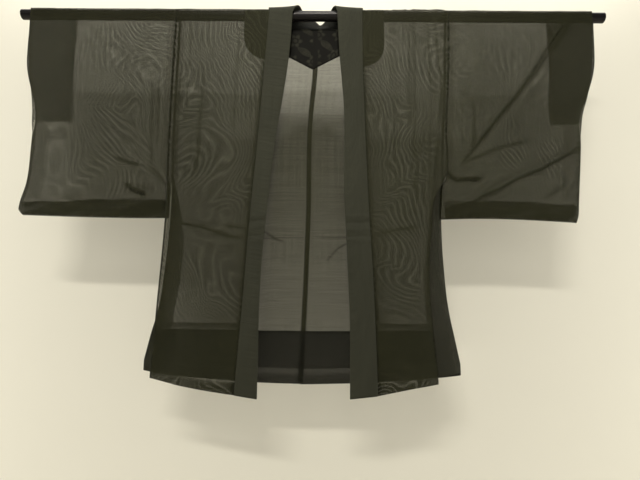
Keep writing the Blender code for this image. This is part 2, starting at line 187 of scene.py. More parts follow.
# Edges as (drop, out). Below the armhole the front's and the back's sides part.
ARMHOLE = {
    "right": ((0.00, 0.3255), (0.34, 0.3260), (0.40, 0.3245), (0.50, 0.3245)),
    "left": ((0.00, 0.3235), (0.18, 0.3160), (0.29, 0.3080), (0.40, 0.3035), (0.50, 0.2990)),
}
BODY_SIDE = {
    ("right", "front"): ARMHOLE["right"][:-1] + ((0.50, 0.3230), (0.70, 0.3270), (0.86, 0.3310)),
    ("left", "front"): ARMHOLE["left"][:-1] + ((0.45, 0.2770), (0.53, 0.2650), (0.61, 0.2570), (0.75, 0.2600),
                                               (0.86, 0.2670)),
    ("right", "back"): ARMHOLE["right"][:-1] + ((0.50, 0.3245), (0.62, 0.3330), (0.69, 0.3410),
                                                (0.75, 0.3540), (0.84, 0.3690)),
    ("left", "back"): ARMHOLE["left"][:-1] + ((0.50, 0.2985), (0.61, 0.3020), (0.69, 0.3090), (0.75, 0.3190),
                                              (0.84, 0.3330)),
}
COLLAR_SEAM = {
    "right": ((0.00, 0.1040), (0.14, 0.1125), (0.30, 0.1222), (0.46, 0.1328), (0.68, 0.1438), (0.87, 0.1547)),
    "left": ((0.00, 0.1175), (0.15, 0.1178), (0.30, 0.1220), (0.46, 0.1272), (0.66, 0.1358), (0.87, 0.1414)),
}
BACK_MIDDLE = ((0.00, 0.006), (0.13, 0.005), (0.25, -0.005), (0.50, -0.008), (0.66, -0.013), (0.86, -0.022))
# Hems as (out, drop).
BACK_HEM = ((0.00, 0.8625), (0.12, 0.859), (0.25, 0.850), (0.33, 0.842), (0.37, 0.834))
HEM = {
    ("right", "front"): ((0.10, 0.883), (0.135, 0.8775), (0.175, 0.8725), (0.23, 0.864), (0.29, 0.852),
                         (0.33, 0.8415)),
    ("left", "front"): ((0.08, 0.881), (0.106, 0.8805), (0.142, 0.875), (0.197, 0.864), (0.267, 0.851)),
    ("right", "back"): BACK_HEM,
    ("left", "back"): BACK_HEM,
}

# Soft hanging folds. Columns: line as (out, drop) points, half width, height outwards, how tightly pinched.
BODY_FOLDS = {
    ("right", "front"): (
        (((0.306, 0.02), (0.314, 0.4)), 0.02, 0.005, 0.0),
        (((0.255, 0.05), (0.275, 0.42)), 0.022, 0.004, 0.0),
        (((0.2, 0.45), (0.215, 0.86)), 0.034, 0.005, 0.0),
        (((0.27, 0.56), (0.3, 0.86)), 0.026, -0.005, 0.0),
        (((0.307, 0.15), (0.308, 0.34), (0.313, 0.42)), 0.0043, -0.0014, 0.55),
        (((0.254, 0.19), (0.258, 0.25), (0.258, 0.35), (0.273, 0.43)), 0.005, -0.0011, 0.32),
        (((0.29, 0.0), (0.287, 0.12), (0.292, 0.3)), 0.0058, 0.0015, 0.15),
        (((0.308, 0.512), (0.275, 0.515), (0.25, 0.519), (0.221, 0.529), (0.186, 0.54), (0.15, 0.548)),
         0.0042, -0.0022, 1.3),
        (((0.305, 0.503), (0.25, 0.509), (0.205, 0.52), (0.16, 0.532)), 0.005, 0.0021, 0.0),
        (((0.195, 0.516), (0.138, 0.525)), 0.0038, -0.0015, 0.95),
        (((0.235, 0.56), (0.14, 0.572)), 0.0065, 0.0012, 0.1),
    ),
    ("left", "front"): (
        (((0.205, 0.0), (0.2, 0.34)), 0.02, 0.004, 0.0),
        (((0.252, -0.02), (0.246, 0.46)), 0.021, 0.006, 0.0),
        (((0.298, -0.02), (0.29, 0.42)), 0.018, 0.006, 0.0),
        (((0.175, 0.5), (0.18, 0.86)), 0.03, 0.004, 0.0),
        (((0.23, 0.52), (0.236, 0.86)), 0.026, 0.004, 0.0),
        (((0.288, 0.0), (0.294, 0.12), (0.3, 0.16), (0.295, 0.23), (0.288, 0.29)), 0.0043, -0.0017, 0.6),
        (((0.29, 0.3), (0.278, 0.39), (0.268, 0.47), (0.263, 0.54)), 0.0058, -0.004, 1.1),
        (((0.272, -0.01), (0.274, 0.2), (0.264, 0.45)), 0.0043, -0.0011, 0.35),
        (((0.228, -0.01), (0.226, 0.16), (0.222, 0.3)), 0.0043, -0.001, 0.3),
        (((0.181, -0.01), (0.18, 0.1), (0.184, 0.22)), 0.0043, -0.0009, 0.25),
        (((0.14, 0.533), (0.173, 0.526), (0.206, 0.521), (0.244, 0.513)), 0.0043, -0.0014, 0.7),
        (((0.132, 0.545), (0.19, 0.534), (0.235, 0.527)), 0.005, 0.001, 0.0),
        (((0.262, 0.25), (0.24, 0.38), (0.232, 0.5)), 0.01, 0.0022, 0.1),
        (((0.192, -0.03), (0.194, 0.07)), 0.0036, 0.0013, 0.1),
        (((0.219, -0.03), (0.221, 0.05)), 0.0032, 0.0012, 0.1),
        (((0.238, -0.03), (0.243, 0.09)), 0.0036, 0.0015, 0.1),
        (((0.268, -0.03), (0.266, 0.06)), 0.0032, 0.0012, 0.1),
    ),
    ("right", "back"): (
        (((0.29, -0.02), (0.3, 0.45)), 0.02, 0.005, 0.0),
        (((0.235, 0.1), (0.245, 0.6)), 0.026, 0.004, 0.0),
        (((0.14, 0.35), (0.15, 0.86)), 0.036, 0.005, 0.0),
        (((0.28, 0.6), (0.31, 0.84)), 0.028, 0.005, 0.0),
        (((0.112, 0.52), (0.098, 0.53), (0.084, 0.54), (0.062, 0.548)), 0.0036, -0.0013, 0.6),
        (((0.102, 0.52), (0.082, 0.536), (0.06, 0.55)), 0.0036, 0.0011, 0.0),
        (((0.005, 0.5375), (0.11, 0.539), (0.22, 0.53), (0.31, 0.522)), 0.0043, 0.0007, 0.22),
        (((0.3, 0.505), (0.22, 0.52), (0.15, 0.545)), 0.0043, -0.0012, 0.35),
        (((0.262, 0.12), (0.268, 0.4)), 0.005, -0.001, 0.3),
        (((0.18, 0.02), (0.186, 0.3)), 0.0058, -0.0014, 0.2),
    ),
    ("left", "back"): (
        (((0.215, -0.02), (0.21, 0.4)), 0.021, 0.005, 0.0),
        (((0.28, -0.02), (0.272, 0.48)), 0.022, 0.006, 0.0),
        (((0.12, 0.3), (0.13, 0.86)), 0.036, 0.005, 0.0),
        (((0.26, 0.58), (0.28, 0.84)), 0.028, 0.005, 0.0),
        (((0.034, 0.592), (0.046, 0.578), (0.06, 0.562), (0.086, 0.547)), 0.0036, -0.0011, 0.4),
        (((0.036, 0.59), (0.052, 0.566), (0.08, 0.541)), 0.0036, 0.0011, 0.0),
        (((0.005, 0.5375), (0.1, 0.536), (0.19, 0.528), (0.26, 0.522)), 0.0043, 0.0007, 0.22),
        (((0.25, 0.51), (0.2, 0.518), (0.14, 0.532)), 0.0043, -0.0011, 0.35),
        (((0.246, 0.02), (0.24, 0.36)), 0.005, -0.0011, 0.35),
        (((0.194, -0.03), (0.196, 0.06)), 0.0036, 0.0012, 0.1),
        (((0.222, -0.03), (0.22, 0.07)), 0.0036, 0.0013, 0.1),
        (((0.243, -0.03), (0.24, 0.05)), 0.0032, 0.0012, 0.1),
    ),
}

# The grid is finer where the packing crease crosses all the panels.
CREASE_TOP = 0.48
CREASE_END = 0.60
UPPER_DROPS = np.concatenate([np.linspace(0.0, CREASE_TOP, 97)[1:],
                              np.linspace(CREASE_TOP, CREASE_END, 49)[1:],
                              np.linspace(CREASE_END, TURNUP_TOP, 29)[1:]])
HEM_STEPS = 28
LEVELS = np.concatenate([UPPER_DROPS, np.full(HEM_STEPS, TURNUP_TOP)])[:, None]
HEM_SHARES = np.concatenate([np.zeros(len(UPPER_DROPS)), np.linspace(0, 1, HEM_STEPS + 1)[1:]])[:, None]
PANEL_SHARES = np.concatenate([np.linspace(0.0, 0.97, 54), (0.98, 0.99, 1.0)])
NECK_SHARES = np.concatenate([(-1.0, -0.985, -0.97, -0.95), np.linspace(-0.92, 0.0, 22)[:-1]])


def smooth(share):
    """0 before 0, 1 after 1, and 3 share^2 - 2 share^3 between."""
    share = np.clip(share, 0.0, 1.0)
    return share * share * (3.0 - 2.0 * share)


def read(table, at):
    """A table's second column at a value of its first: cubics, sloped at each row as its neighbours' mean."""
    firsts, seconds = np.array(table).T
    slopes = np.gradient(seconds, firsts)
    at = np.clip(at, firsts[0], firsts[-1])
    low = np.clip(np.searchsorted(firsts, at, side="right") - 1, 0, len(firsts) - 2)
    span = firsts[low + 1] - firsts[low]
    share = (at - firsts[low]) / span
    rise = smooth(share)
    bend_in = share * (1 - share) ** 2 * span * slopes[low]
    bend_out = share * share * (share - 1) * span * slopes[low + 1]
    return seconds[low] * (1 - rise) + seconds[low + 1] * rise + bend_in + bend_out


def fold(line, half_width, height, out, drop):
    """One fold's height, and how near each place is to its line.

    The height is a bell across a bent line, wider on one side, uneven along it and fading at its ends.
    """
    nearest = np.full(np.shape(out), np.inf)
    across = np.zeros(np.shape(out))
    along = np.zeros(np.shape(out))
    start = 0.0
    for (out_0, drop_0), (out_1, drop_1) in zip(line[:-1], line[1:]):
        ahead = np.array((out_1 - out_0, drop_1 - drop_0))
        length = np.hypot(*ahead)
        ahead /= length
        travel = np.clip((out - out_0) * ahead[0] + (drop - drop_0) * ahead[1], 0.0, length)
        away_out = out - out_0 - travel * ahead[0]
        away_drop = drop - drop_0 - travel * ahead[1]
        distance = np.hypot(away_out, away_drop)
        closer = distance < nearest
        nearest = np.where(closer, distance, nearest)
        across = np.where(closer, away_out * ahead[1] - away_drop * ahead[0], across)
        along = np.where(closer, start + travel, along)
        start += length
    lean = 1.0 + 0.33 * np.tanh(across / half_width)
    bell = np.exp(-((nearest / (half_width * lean)) ** 2))
    end = min(0.25 * start, 0.05)
    fade = smooth(along / end + 0.15) * smooth((start - along) / end + 0.15)
    uneven = 0.82 + 0.18 * np.sin(along / 0.023 + start * 90.0) * np.cos(along / 0.061)
    return height * bell * fade * uneven, np.exp(-((nearest / (0.42 * half_width)) ** 2)) * fade * uneven


def folds_at(table, out, drop):
    """The summed heights of a table's folds, and the summed pinch that closes their lines and darkens them
    with painted shade.
    """
    height = np.zeros(np.broadcast(out, drop).shape)
    pinch = np.zeros_like(height)
    for line, half_width, rise, tightness in table:
        up, near = fold(line, half_width, rise, out, drop)
        height += up
        pinch += tightness * near
    return height, pinch


def slack(out, drop, turn):
    """The cloth's own unevenness: four crossing waves of 7 to 21 cm, at an angle set by turn, under 1 mm."""
    low = np.sin(out * 47.0 + drop * 11.0 + turn) * np.cos(drop * 30.0 - out * 19.0 + 2.0 * turn)
    high = np.sin(out * 88.0 - drop * 23.0 + 3.0 * turn) * np.cos(drop * 61.0 + out * 37.0 - turn)
    return 0.0007 * low + 0.00035 * high


def body_depth(drop, layer):
    """How far a layer hangs from the rod's axis: it swings out smoothly towards the hem."""
    return PANEL_RADIUS + SWING[layer] * smooth((drop - SWING_START) / (LONGEST_DROP - SWING_START))


def drops_at(path):
    """How far below the rod a path has come on the front and on the back, or 0 where it is on the other."""
    return {"front": np.maximum(-path, 0.0), "back": np.maximum(path - OVER_ROD, 0.0)}


def bent_over(side, outs, path, depths, inward):
    """Points of a sheet bent over the rod, from the depths of its front and its back layer.

    The depth goes from one to the other as the path turns over the rod. The rest of the path hangs straight.
    """
    share = np.clip(path / OVER_ROD, 0.0, 1.0)
    turn = share * math.pi
    radius = (1 - share) * depths["front"] + share * depths["back"] - inward
    drop = sum(drops_at(path).values())
    return np.stack([SIGN[side] * outs, -radius * np.cos(turn), radius * np.sin(turn) - drop], axis=-1)


def on_its_layer(path, values):
    """The front's values up to the top of the rod, and the back's after it."""
    return np.where(path < OVER_ROD / 2, values["front"], values["back"])


def body_at(side, outs, path, inward=0.0, folded=True):
    """Points of the body's form and the pinch at each.

    Folds flatten within 15 mm of the side and of the middle of the back.
    """
    depths, pinches = {}, {}
    for layer, drop in drops_at(path).items():
        up, pinch = folds_at(BODY_FOLDS[side, layer], outs, drop)
        up += slack(outs, drop, BODY_TURN[layer] + SIGN[side])
        side_room = smooth((read(BODY_SIDE[side, layer], drop) - outs) / FOLD_ROOM)
        middle_room = smooth((outs - SIGN[side] * read(BACK_MIDDLE, drop)) / FOLD_ROOM)
        up *= side_room * (middle_room if layer == "back" else 1.0)
        up = np.where(drop < NECK_CUT, np.maximum(up, 0.0), up)
        depths[layer] = body_depth(drop, layer) + up * folded
        pinches[layer] = pinch * side_room
    return bent_over(side, outs, path, depths, inward), on_its_layer(path, pinches)


def body_layer(side, layer, across):
    """Outs and drops of one hanging layer, rows going down.

    across is -1 at the middle of the garment, 0 beside the collar and 1 at the side.
    """
    about = LEVELS + (LONGEST_DROP - LEVELS) * HEM_SHARES
    inner = read(COLLAR_SEAM[side], about) - COLLAR_OVERLAP
    outer = read(BODY_SIDE[side, layer], about) - SEAM_GAP / 2
    middle = SIGN[side] * read(BACK_MIDDLE, about) + SEAM_GAP / 2
    outs = inner + np.where(across > 0, outer - inner, inner - middle) * across
    return outs, LEVELS + (read(HEM[side, layer], outs) - LEVELS) * HEM_SHARES


def over_the_rod(front, back):
    """Outs and paths of a whole sheet, from the outs and drops of its front and its back layer."""
    over = np.linspace(0.0, OVER_ROD, OVER_STEPS + 1)[:, None]
    outs_over = front[0][:1] * (1 - over / OVER_ROD) + back[0][:1] * over / OVER_ROD
    outs = np.concatenate([front[0][::-1], outs_over, back[0]])
    path = np.concatenate([-front[1][::-1], over + np.zeros_like(outs_over), OVER_ROD + back[1]])
    return outs, path


def cloth(name, side, points, dense, material, keep=None, thickness=CLOTH, weld=False):
    """A thin closed shell on a grid of points, its outer face away from the rod.

    Its "cloth" map is the distance across and along the sheet. Its "dense" values say where the cloth is
    doubled, pinched or steep, and so closer to look through; in the gauze high values also darken the colour
    as painted shade. Cells where keep is False are left out.
    """
    rows, columns = points.shape[:2]
    corner = np.arange(rows * columns).reshape(rows, columns)
    quads = np.stack([corner[:-1, :-1], corner[1:, :-1], corner[1:, 1:], corner[:-1, 1:]], axis=-1)
    quads = quads if side == "right" else quads[..., ::-1]
    quads = quads[keep] if keep is not None else quads.reshape(-1, 4)
    across = np.pad(np.cumsum(np.linalg.norm(np.diff(points, axis=1), axis=2), axis=1), ((0, 0), (1, 0)))
    along = np.pad(np.cumsum(np.linalg.norm(np.diff(points, axis=0), axis=2), axis=0), ((1, 0), (0, 0)))
    used, index = np.unique(quads, return_inverse=True)
    quads = index.reshape(quads.shape)
    mesh = bpy.data.meshes.new(name)
    mesh.from_pydata(points.reshape(-1, 3)[used].tolist(), [], quads.tolist())
    places = np.stack([across, along], axis=-1).reshape(-1, 2)[used]
    uv = mesh.uv_layers.new(name="cloth")
    uv.data.foreach_set("uv", places[quads.reshape(-1)].astype(np.float32).ravel())
    values = mesh.attributes.new("dense", "FLOAT", "POINT")
    values.data.foreach_set("value", np.clip(dense, -0.5, 3.0).reshape(-1)[used].astype(np.float32))
    mesh.polygons.foreach_set("use_smooth", np.ones(len(mesh.polygons), bool))
    mesh.materials.append(material)
    if weld:
        sewn = bmesh.new()
        sewn.from_mesh(mesh)
        bmesh.ops.remove_doubles(sewn, verts=sewn.verts, dist=WELD)
        sewn.to_mesh(mesh)
        sewn.free()
    piece = bpy.data.objects.new(name, mesh)
    bpy.context.scene.collection.objects.link(piece)
    thicken = piece.modifiers.new("Thickness", "SOLIDIFY")
    thicken.thickness = thickness
    thicken.offset = 0.0
    return piece


def steepness(points, height):
    """What the slope of heights over a grid adds to the cloth seen through: sqrt(1 + slope^2) - 1."""
    slope = np.zeros_like(height)
    for axis in (0, 1):
        step = np.linalg.norm(np.gradient(points, axis=axis), axis=2) + 1e-6
        slope += (np.gradient(height, axis=axis) / step) ** 2
    return np.sqrt(1.0 + slope) - 1.0


def hung(form, side, outs, path):
    """A sheet's points on a form, the pinch at each, and how steep its folds make it."""
    points, pinch = form(side, outs, path)
    flat_points, _ = form(side, outs, path, folded=False)
    return points, pinch, steepness(flat_points, np.linalg.norm(points - flat_points, axis=2))


def new_group(name, takes, gives):
    """A shader node group with named sockets: returns it, what it is given and where its results go.

    takes gives each input's default number, or None where it is a place.
    """
    tree = bpy.data.node_groups.new(name, "ShaderNodeTree")
    for socket, default in takes.items():
        kind = "NodeSocketVector" if default is None else "NodeSocketFloat"
        made = tree.interface.new_socket(socket, in_out="INPUT", socket_type=kind)
        if default is not None:
            made.default_value = default
    for socket in gives:
        tree.interface.new_socket(socket, in_out="OUTPUT", socket_type="NodeSocketFloat")
    return tree, node(tree, "NodeGroupInput").outputs, node(tree, "NodeGroupOutput").inputs


def weave_group():
    """The gauze weave: twisted warps with open gaps between the picks.

    Cover is the share of light a face stops: 1 - (1 - cover)^(1 + dense), less in the gaps and more on slubs.
    Tone is an uneven dyeing from 0 to 1, and Height is the threads' own relief.
    Shade falls from 1 to 0.42 as dense goes from 0.8 to 3: little light gets out of a seam or a pinch.
    """
    tree, given, result = new_group(
        "gauze_weave",
        {"Cover": 0.4, "Warps per metre": 900.0, "Picks per metre": 700.0, "Dense": 0.0, "Place": None},
        ("Cover", "Tone", "Height", "Shade"))
    place = given["Place"]
    dense = Value(given["Dense"])
    across, along, _ = split(place)
    turns = 2.0 * math.pi
    wander = noise(place, 24.0, 1.0) * 2.4
    warp = maths("SINE", across * Value(given["Warps per metre"]) * turns + wander)
    pick = maths("SINE", along * Value(given["Picks per metre"]) * turns + wander * 0.7)
    threads = maths("MAXIMUM", warp, pick)
    slub = noise(place, (9.0, 420.0, 1.0), 3.0, roughness=0.6)
    streak = noise(place, (270.0, 5.0, 1.0), 2.0)
    dye = noise(place, 7.0, 3.0)
    closed = 1.0 - maths("POWER", 1.0 - Value(given["Cover"]), dense + 1.0)
    uneven = (ranged(slub, 0.3, 0.7, -0.07, 0.07) + ranged(streak, 0.3, 0.7, -0.03, 0.03)
              + ranged(threads, -0.4, 1.0, -0.14, 0.06))
    cover = closed * (uneven + 1.0)
    give(result["Cover"], maths("MINIMUM", maths("MAXIMUM", cover, 0.0), 1.0))
    give(result["Tone"], ranged(dye * 0.6 + slub * 0.4, 0.3, 0.7))
    give(result["Height"], threads)
    give(result["Shade"], ranged(dense, 0.8, 3.0, 1.0, 0.42))
    return tree


def watered_group():
    """The watered figure that two layers of gauze make where one lies over the other.

    It is the contour lines of a slow noise with 24 rings: 1 - |sin(pi times the rings' phase)|, to the power
    1.5 so that the lines are thin. It is strong in some patches and faint in others.
    """
    tree, given, result = new_group("watered_figure", {"Place": None}, ("Figure",))
    flat = node(tree, "ShaderNodeVectorMath", {"operation": "MULTIPLY"},
                {0: given["Place"], 1: (1.0, 0.0, 1.0)}).outputs[0]
    elsewhere = node(tree, "ShaderNodeVectorMath", {"operation": "ADD"},
                     {0: flat, 1: (3.1, 0.0, 7.7)}).outputs[0]
    across, _, up = split(flat)
    phase = noise(flat, 6.0, 1.4, roughness=0.45, distortion=0.6) * 24.0 + across * 66.0 + up * 26.0
    crest = 1.0 - maths("ABSOLUTE", maths("SINE", phase * math.pi))
    wave = 0.33 - maths("POWER", crest, 1.5) * 1.3
    patch = noise(elsewhere, 6.5, 2.0)
    give(result["Figure"], wave * ranged(patch, 0.30, 0.53, 0.38, 1.0))
    return tree


WEAVE = weave_group()
WATERED = watered_group()


def gauze(name, dark, light, cover, watered=0.0, front_only=False, bump=0.25, sheen=0.04):
    """Black silk gauze: sheer, dull, with a soft sheen, dyed unevenly between its dark and its light colour.

    cover is the share of light that each face stops, and watered how much the watered figure changes it and
    how strongly it paints light along the figure's lines and shade between them into the colour.
    """
    material, tree, shader = new_material(name, {
        "Base Color": dark, "Roughness": 0.62, "Specular IOR Level": 0.10, "Specular Tint": (1.0, 0.97, 0.80),
        "Sheen Weight": sheen, "Sheen Roughness": 0.45, "Sheen Tint": (1.0, 0.97, 0.78)})
    weave = node(tree, "ShaderNodeGroup", {"node_tree": WEAVE}, {
        "Cover": cover,
        "Place": node(tree, "ShaderNodeUVMap", {"uv_map": "cloth"}).outputs[0],
        "Dense": node(tree, "ShaderNodeAttribute", {"attribute_name": "dense"}).outputs["Fac"]}).outputs
    colour = scaled(between(Value(weave["Tone"]), dark, light), weave["Shade"])
    share = Value(weave["Cover"])
    if watered:
        place = node(tree, "ShaderNodeTexCoord").outputs["Object"]
        figure = node(tree, "ShaderNodeGroup", {"node_tree": WATERED}, {"Place": place}).outputs["Figure"]
        strength = Value(figure) * watered
        if front_only:
            strength = strength * maths("LESS_THAN", split(place)[1], 0.0)
        share = share * (strength + 1.0)
        # Painted light and shade: the colour is lit up to 1.35 times along the figure's lines and darkened
        # between them.
        colour = scaled(colour, ranged(strength, -watered, watered, 1.35, 0.70))
    give(shader["Base Color"], colour)
    give(shader["Alpha"], share)
    relief = {"Strength": bump, "Distance": 0.0002, "Height": weave["Height"]}
    give(shader["Normal"], node(tree, "ShaderNodeBump", (), relief).outputs[0])
    return material


def declare(piece, node_name):
    """Rides the piece on the one body, and hides the model's part that it replaces, if it names one."""
    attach(piece, "root")
    if node_name:
        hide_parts(node_name)


BODY_COVER = 0.45
BODY_DARK = (0.0225, 0.0221, 0.0096)
BODY_LIGHT = (0.0332, 0.0326, 0.0145)
# How much closer than one flat layer the cloth is: by its own weave, where it is steep or pinched, and sewn.
# Where it is much closer, the gauze's colour is also darkened as painted shade.
BODY_DENSE = {"right": {"front": -0.15, "back": 0.38}, "left": {"front": 0.00, "back": 0.38}}
STEEP_DENSE = 3.5
BODY_PINCH_DENSE = 2.4
SEAM_DENSE = 3.5
MIDDLE_SEAM_DENSE = 1.6
HEM_DENSE = {"front": 1.5, "back": 0.8}
body_gauze = gauze("black_gauze_body", BODY_DARK, BODY_LIGHT, BODY_COVER, watered=0.40, front_only=True)


def body_dense(side, outs, path):
    """How close the cloth looks before its folds are counted.

    It is closer along the collar's seam in front, where the seam and a painted shadow of the collar darken it,
    in the lowest strip of the hem, and on the back where it reaches past the front's side. At the back's
    middle it is closer from 23 cm down, fading by 62 cm, and sheerer above that: painted shade and light that
    stand for the shadow and the light on the wall behind the garment.
    """
    drops = drops_at(path)
    dense = on_its_layer(path, BODY_DENSE[side])
    from_collar = outs - read(COLLAR_SEAM[side], drops["front"])
    # Beside the collar: the seam's closer cloth, and a painted shadow of the collar that darkens the front
    # there.
    beside = 2.2 * np.exp(-((from_collar / 0.006) ** 2)) + 0.55 * np.exp(-np.abs(from_collar) / 0.016)
    dense = dense + (path < 0) * smooth((drops["front"] - 0.02) / 0.15) * beside
    hem_share = np.concatenate([HEM_SHARES[::-1], np.zeros((OVER_STEPS + 1, 1)), HEM_SHARES])
    dense += on_its_layer(path, HEM_DENSE) * smooth((hem_share - 0.84) / 0.03)
    down = drops["back"]
    past_front = smooth((outs - read(BODY_SIDE[side, "front"], down)) / 0.006)
    dense += 1.3 * past_front * smooth((down - ARMHOLE_END) / 0.05)
    # Painted light and shade: the back's middle is closer below the shoulders and sheerer above, for the
    # shadow and the light on the wall behind it.
    middle = 0.55 * smooth((down - 0.23) / 0.04) * (1 - smooth((down - 0.28) / 0.34))
    middle -= 0.30 * (1 - smooth((down - 0.20) / 0.06))
    return dense + middle * smooth((0.135 - outs) / 0.03) * (down > 0)


def build_body(side):
    """One body length. Its seam edges are doubled, and the cells at the neck are cut away."""
    across = np.concatenate([NECK_SHARES, PANEL_SHARES])
    outs, path = over_the_rod(body_layer(side, "front", across), body_layer(side, "back", across))
    points, pinch, steep = hung(body_at, side, outs, path)
    dense = STEEP_DENSE * steep + BODY_PINCH_DENSE * pinch + body_dense(side, outs, path)
    dense[:, -2:] += SEAM_DENSE
    dense[:, :3] += MIDDLE_SEAM_DENSE * (path[:, :3] > 0)
    cut_row = len(LEVELS) + OVER_STEPS + int(np.searchsorted(UPPER_DROPS, NECK_CUT)) + 1
    keep = np.ones((outs.shape[0] - 1, outs.shape[1] - 1), bool)
    keep[:cut_row, :len(NECK_SHARES)] = False
    piece = cloth(f"body_length_{side}", side, points, dense, body_gauze, keep=keep)
    declare(piece, f"body_{side}")


for side in ("right", "left"):
    build_body(side)


# The sleeves.
# Each is a width of the same gauze folded over the rod and sewn into a bag: along its bottom, up its inner
# edge to the armhole, and up its outer edge to the hand's opening. A flat seam joins it to the body.

MOUTH_END = 0.27
SLEEVE_BOTTOM_DEPTH = 0.006
SLEEVE_MOUTH = {
    "right": ((0.00, 0.673), (0.16, 0.663), (0.23, 0.652), (0.34, 0.648), (0.42, 0.651), (0.47, 0.662),
              (0.48, 0.6625), (0.50, 0.649)),
    "left": ((0.00, 0.665), (0.15, 0.653), (0.20, 0.643), (0.25, 0.628), (0.33, 0.621), (0.47, 0.606),
             (0.48, 0.605), (0.50, 0.598)),
}
SLEEVE_BOTTOM = {
    "right": ((0.32, 0.4975), (0.38, 0.4980), (0.53, 0.4960), (0.65, 0.4925)),
    "left": ((0.30, 0.4970), (0.36, 0.4950), (0.44, 0.4955), (0.53, 0.4990), (0.60, 0.5030)),
}
SLEEVE_FOLDS = {
    "right": (
        (((0.4, 0.1), (0.38, 0.46)), 0.04, 0.003, 0.0),
        (((0.52, 0.05), (0.5, 0.44)), 0.045, 0.003, 0.0),
        (((0.64, 0.28), (0.6, 0.47)), 0.03, 0.003, 0.0),
        (((0.45, 0.361), (0.42, 0.371), (0.385, 0.382)), 0.0036, -0.0013, 0.95),
        (((0.42, 0.424), (0.402, 0.437), (0.372, 0.448)), 0.006, -0.0026, 2.6),
        (((0.41, 0.42), (0.38, 0.434), (0.345, 0.445)), 0.0058, 0.003, 0.0),
        (((0.368, 0.384), (0.351, 0.398), (0.33, 0.425)), 0.0058, 0.004, 0.1),
        (((0.372, 0.17), (0.368, 0.29), (0.362, 0.4)), 0.005, 0.0014, 0.15),
        (((0.357, 0.18), (0.352, 0.33)), 0.0058, -0.0016, 0.2),
        (((0.62, 0.462), (0.575, 0.478), (0.54, 0.492)), 0.005, 0.0019, 0.3),
        (((0.56, 0.46), (0.5, 0.476), (0.43, 0.492)), 0.0047, -0.002, 0.7),
        (((0.52, 0.462), (0.47, 0.48), (0.4, 0.49)), 0.005, 0.0019, 0.0),
        (((0.44, 0.46), (0.385, 0.476), (0.34, 0.488)), 0.0043, -0.0019, 0.6),
        (((0.602, 0.01), (0.6, 0.12), (0.606, 0.25)), 0.0065, 0.0018, 0.1),
        (((0.56, 0.01), (0.565, 0.15)), 0.0058, -0.0012, 0.15),
    ),
    "left": (
        (((0.61, 0.03), (0.35, 0.38)), 0.03, -0.004, 0.0),
        (((0.64, 0.05), (0.42, 0.36)), 0.032, 0.005, 0.0),
        (((0.615, 0.34), (0.34, 0.48)), 0.026, 0.005, 0.0),
        (((0.4, 0.04), (0.36, 0.3)), 0.03, 0.004, 0.0),
        (((0.612, 0.004), (0.55, 0.093), (0.515, 0.148), (0.472, 0.207), (0.426, 0.263),
          (0.374, 0.33), (0.334, 0.378)),
         0.0044, -0.0019, 1.3),
        (((0.604, 0.035), (0.535, 0.135), (0.49, 0.195), (0.44, 0.262), (0.39, 0.322)), 0.0065, 0.002, 0.0),
        (((0.624, 0.327), (0.576, 0.352), (0.522, 0.383), (0.464, 0.406), (0.426, 0.43), (0.383, 0.449),
          (0.35, 0.469), (0.322, 0.494)), 0.0038, -0.0022, 1.6),
        (((0.622, 0.315), (0.575, 0.342), (0.52, 0.372), (0.462, 0.396), (0.42, 0.42), (0.378, 0.44)),
         0.005, 0.0018, 0.0),
        (((0.338, 0.382), (0.361, 0.36), (0.423, 0.334), (0.475, 0.32), (0.505, 0.315)),
         0.0034, -0.0013, 0.7),
        (((0.302, 0.388), (0.311, 0.4), (0.326, 0.415)), 0.006, -0.0022, 4.2),
        (((0.322, 0.413), (0.345, 0.408), (0.382, 0.409)), 0.005, -0.0018, 3.6),
        (((0.312, 0.38), (0.345, 0.397), (0.4, 0.4)), 0.0043, 0.0018, 0.0),
        (((0.366, 0.206), (0.374, 0.242), (0.371, 0.3), (0.368, 0.345)), 0.0043, -0.0014, 0.4),
        (((0.36, 0.198), (0.345, 0.205)), 0.0036, -0.001, 0.35),
        (((0.52, 0.452), (0.545, 0.436), (0.575, 0.42)), 0.0036, -0.0014, 0.5),
        (((0.6, 0.02), (0.575, 0.06), (0.56, 0.085)), 0.017, -0.003, 0.35),
        (((0.44, 0.47), (0.5, 0.462), (0.59, 0.452)), 0.005, 0.0016, 0.0),
        (((0.36, 0.492), (0.42, 0.478), (0.48, 0.466)), 0.0043, -0.0016, 0.55),
        (((0.54, 0.494), (0.57, 0.48), (0.604, 0.474)), 0.0043, 0.0016, 0.25),
    ),
}
BOTTOM_TOP = 0.455
LONGEST_SLEEVE = 0.4975
SLEEVE_DROPS = np.concatenate([np.linspace(0.0, 0.34, 86)[1:], np.linspace(0.34, BOTTOM_TOP, 53)[1:]])
SLEEVE_STEPS = 18
SLEEVE_LEVELS = np.concatenate([SLEEVE_DROPS, np.full(SLEEVE_STEPS, BOTTOM_TOP)])[:, None]
BOTTOM_SHARES = np.concatenate([np.zeros(len(SLEEVE_DROPS)),
                                np.sin(np.linspace(0, 1, SLEEVE_STEPS + 1)[1:] * math.pi / 2)])[:, None]
SLEEVE_SHARES = np.concatenate([(0.0, 0.003, 0.008, 0.016, 0.024), np.linspace(0.034, 0.966, 100),
                                (0.978, 0.986, 0.992, 0.997, 1.0)])
SEAM_ROUND = 0.014
BACK_SPREAD = 0.020
TUCK = {"right": 0.003, "left": 0.009}
SLEEVE_DENSE = {"right": 0.07, "left": 0.18}
SLEEVE_PINCH_DENSE = 2.8
MOUTH_EDGE_DENSE = 0.9
SLEEVE_TURN = {"front": 4.0, "back": 6.0}
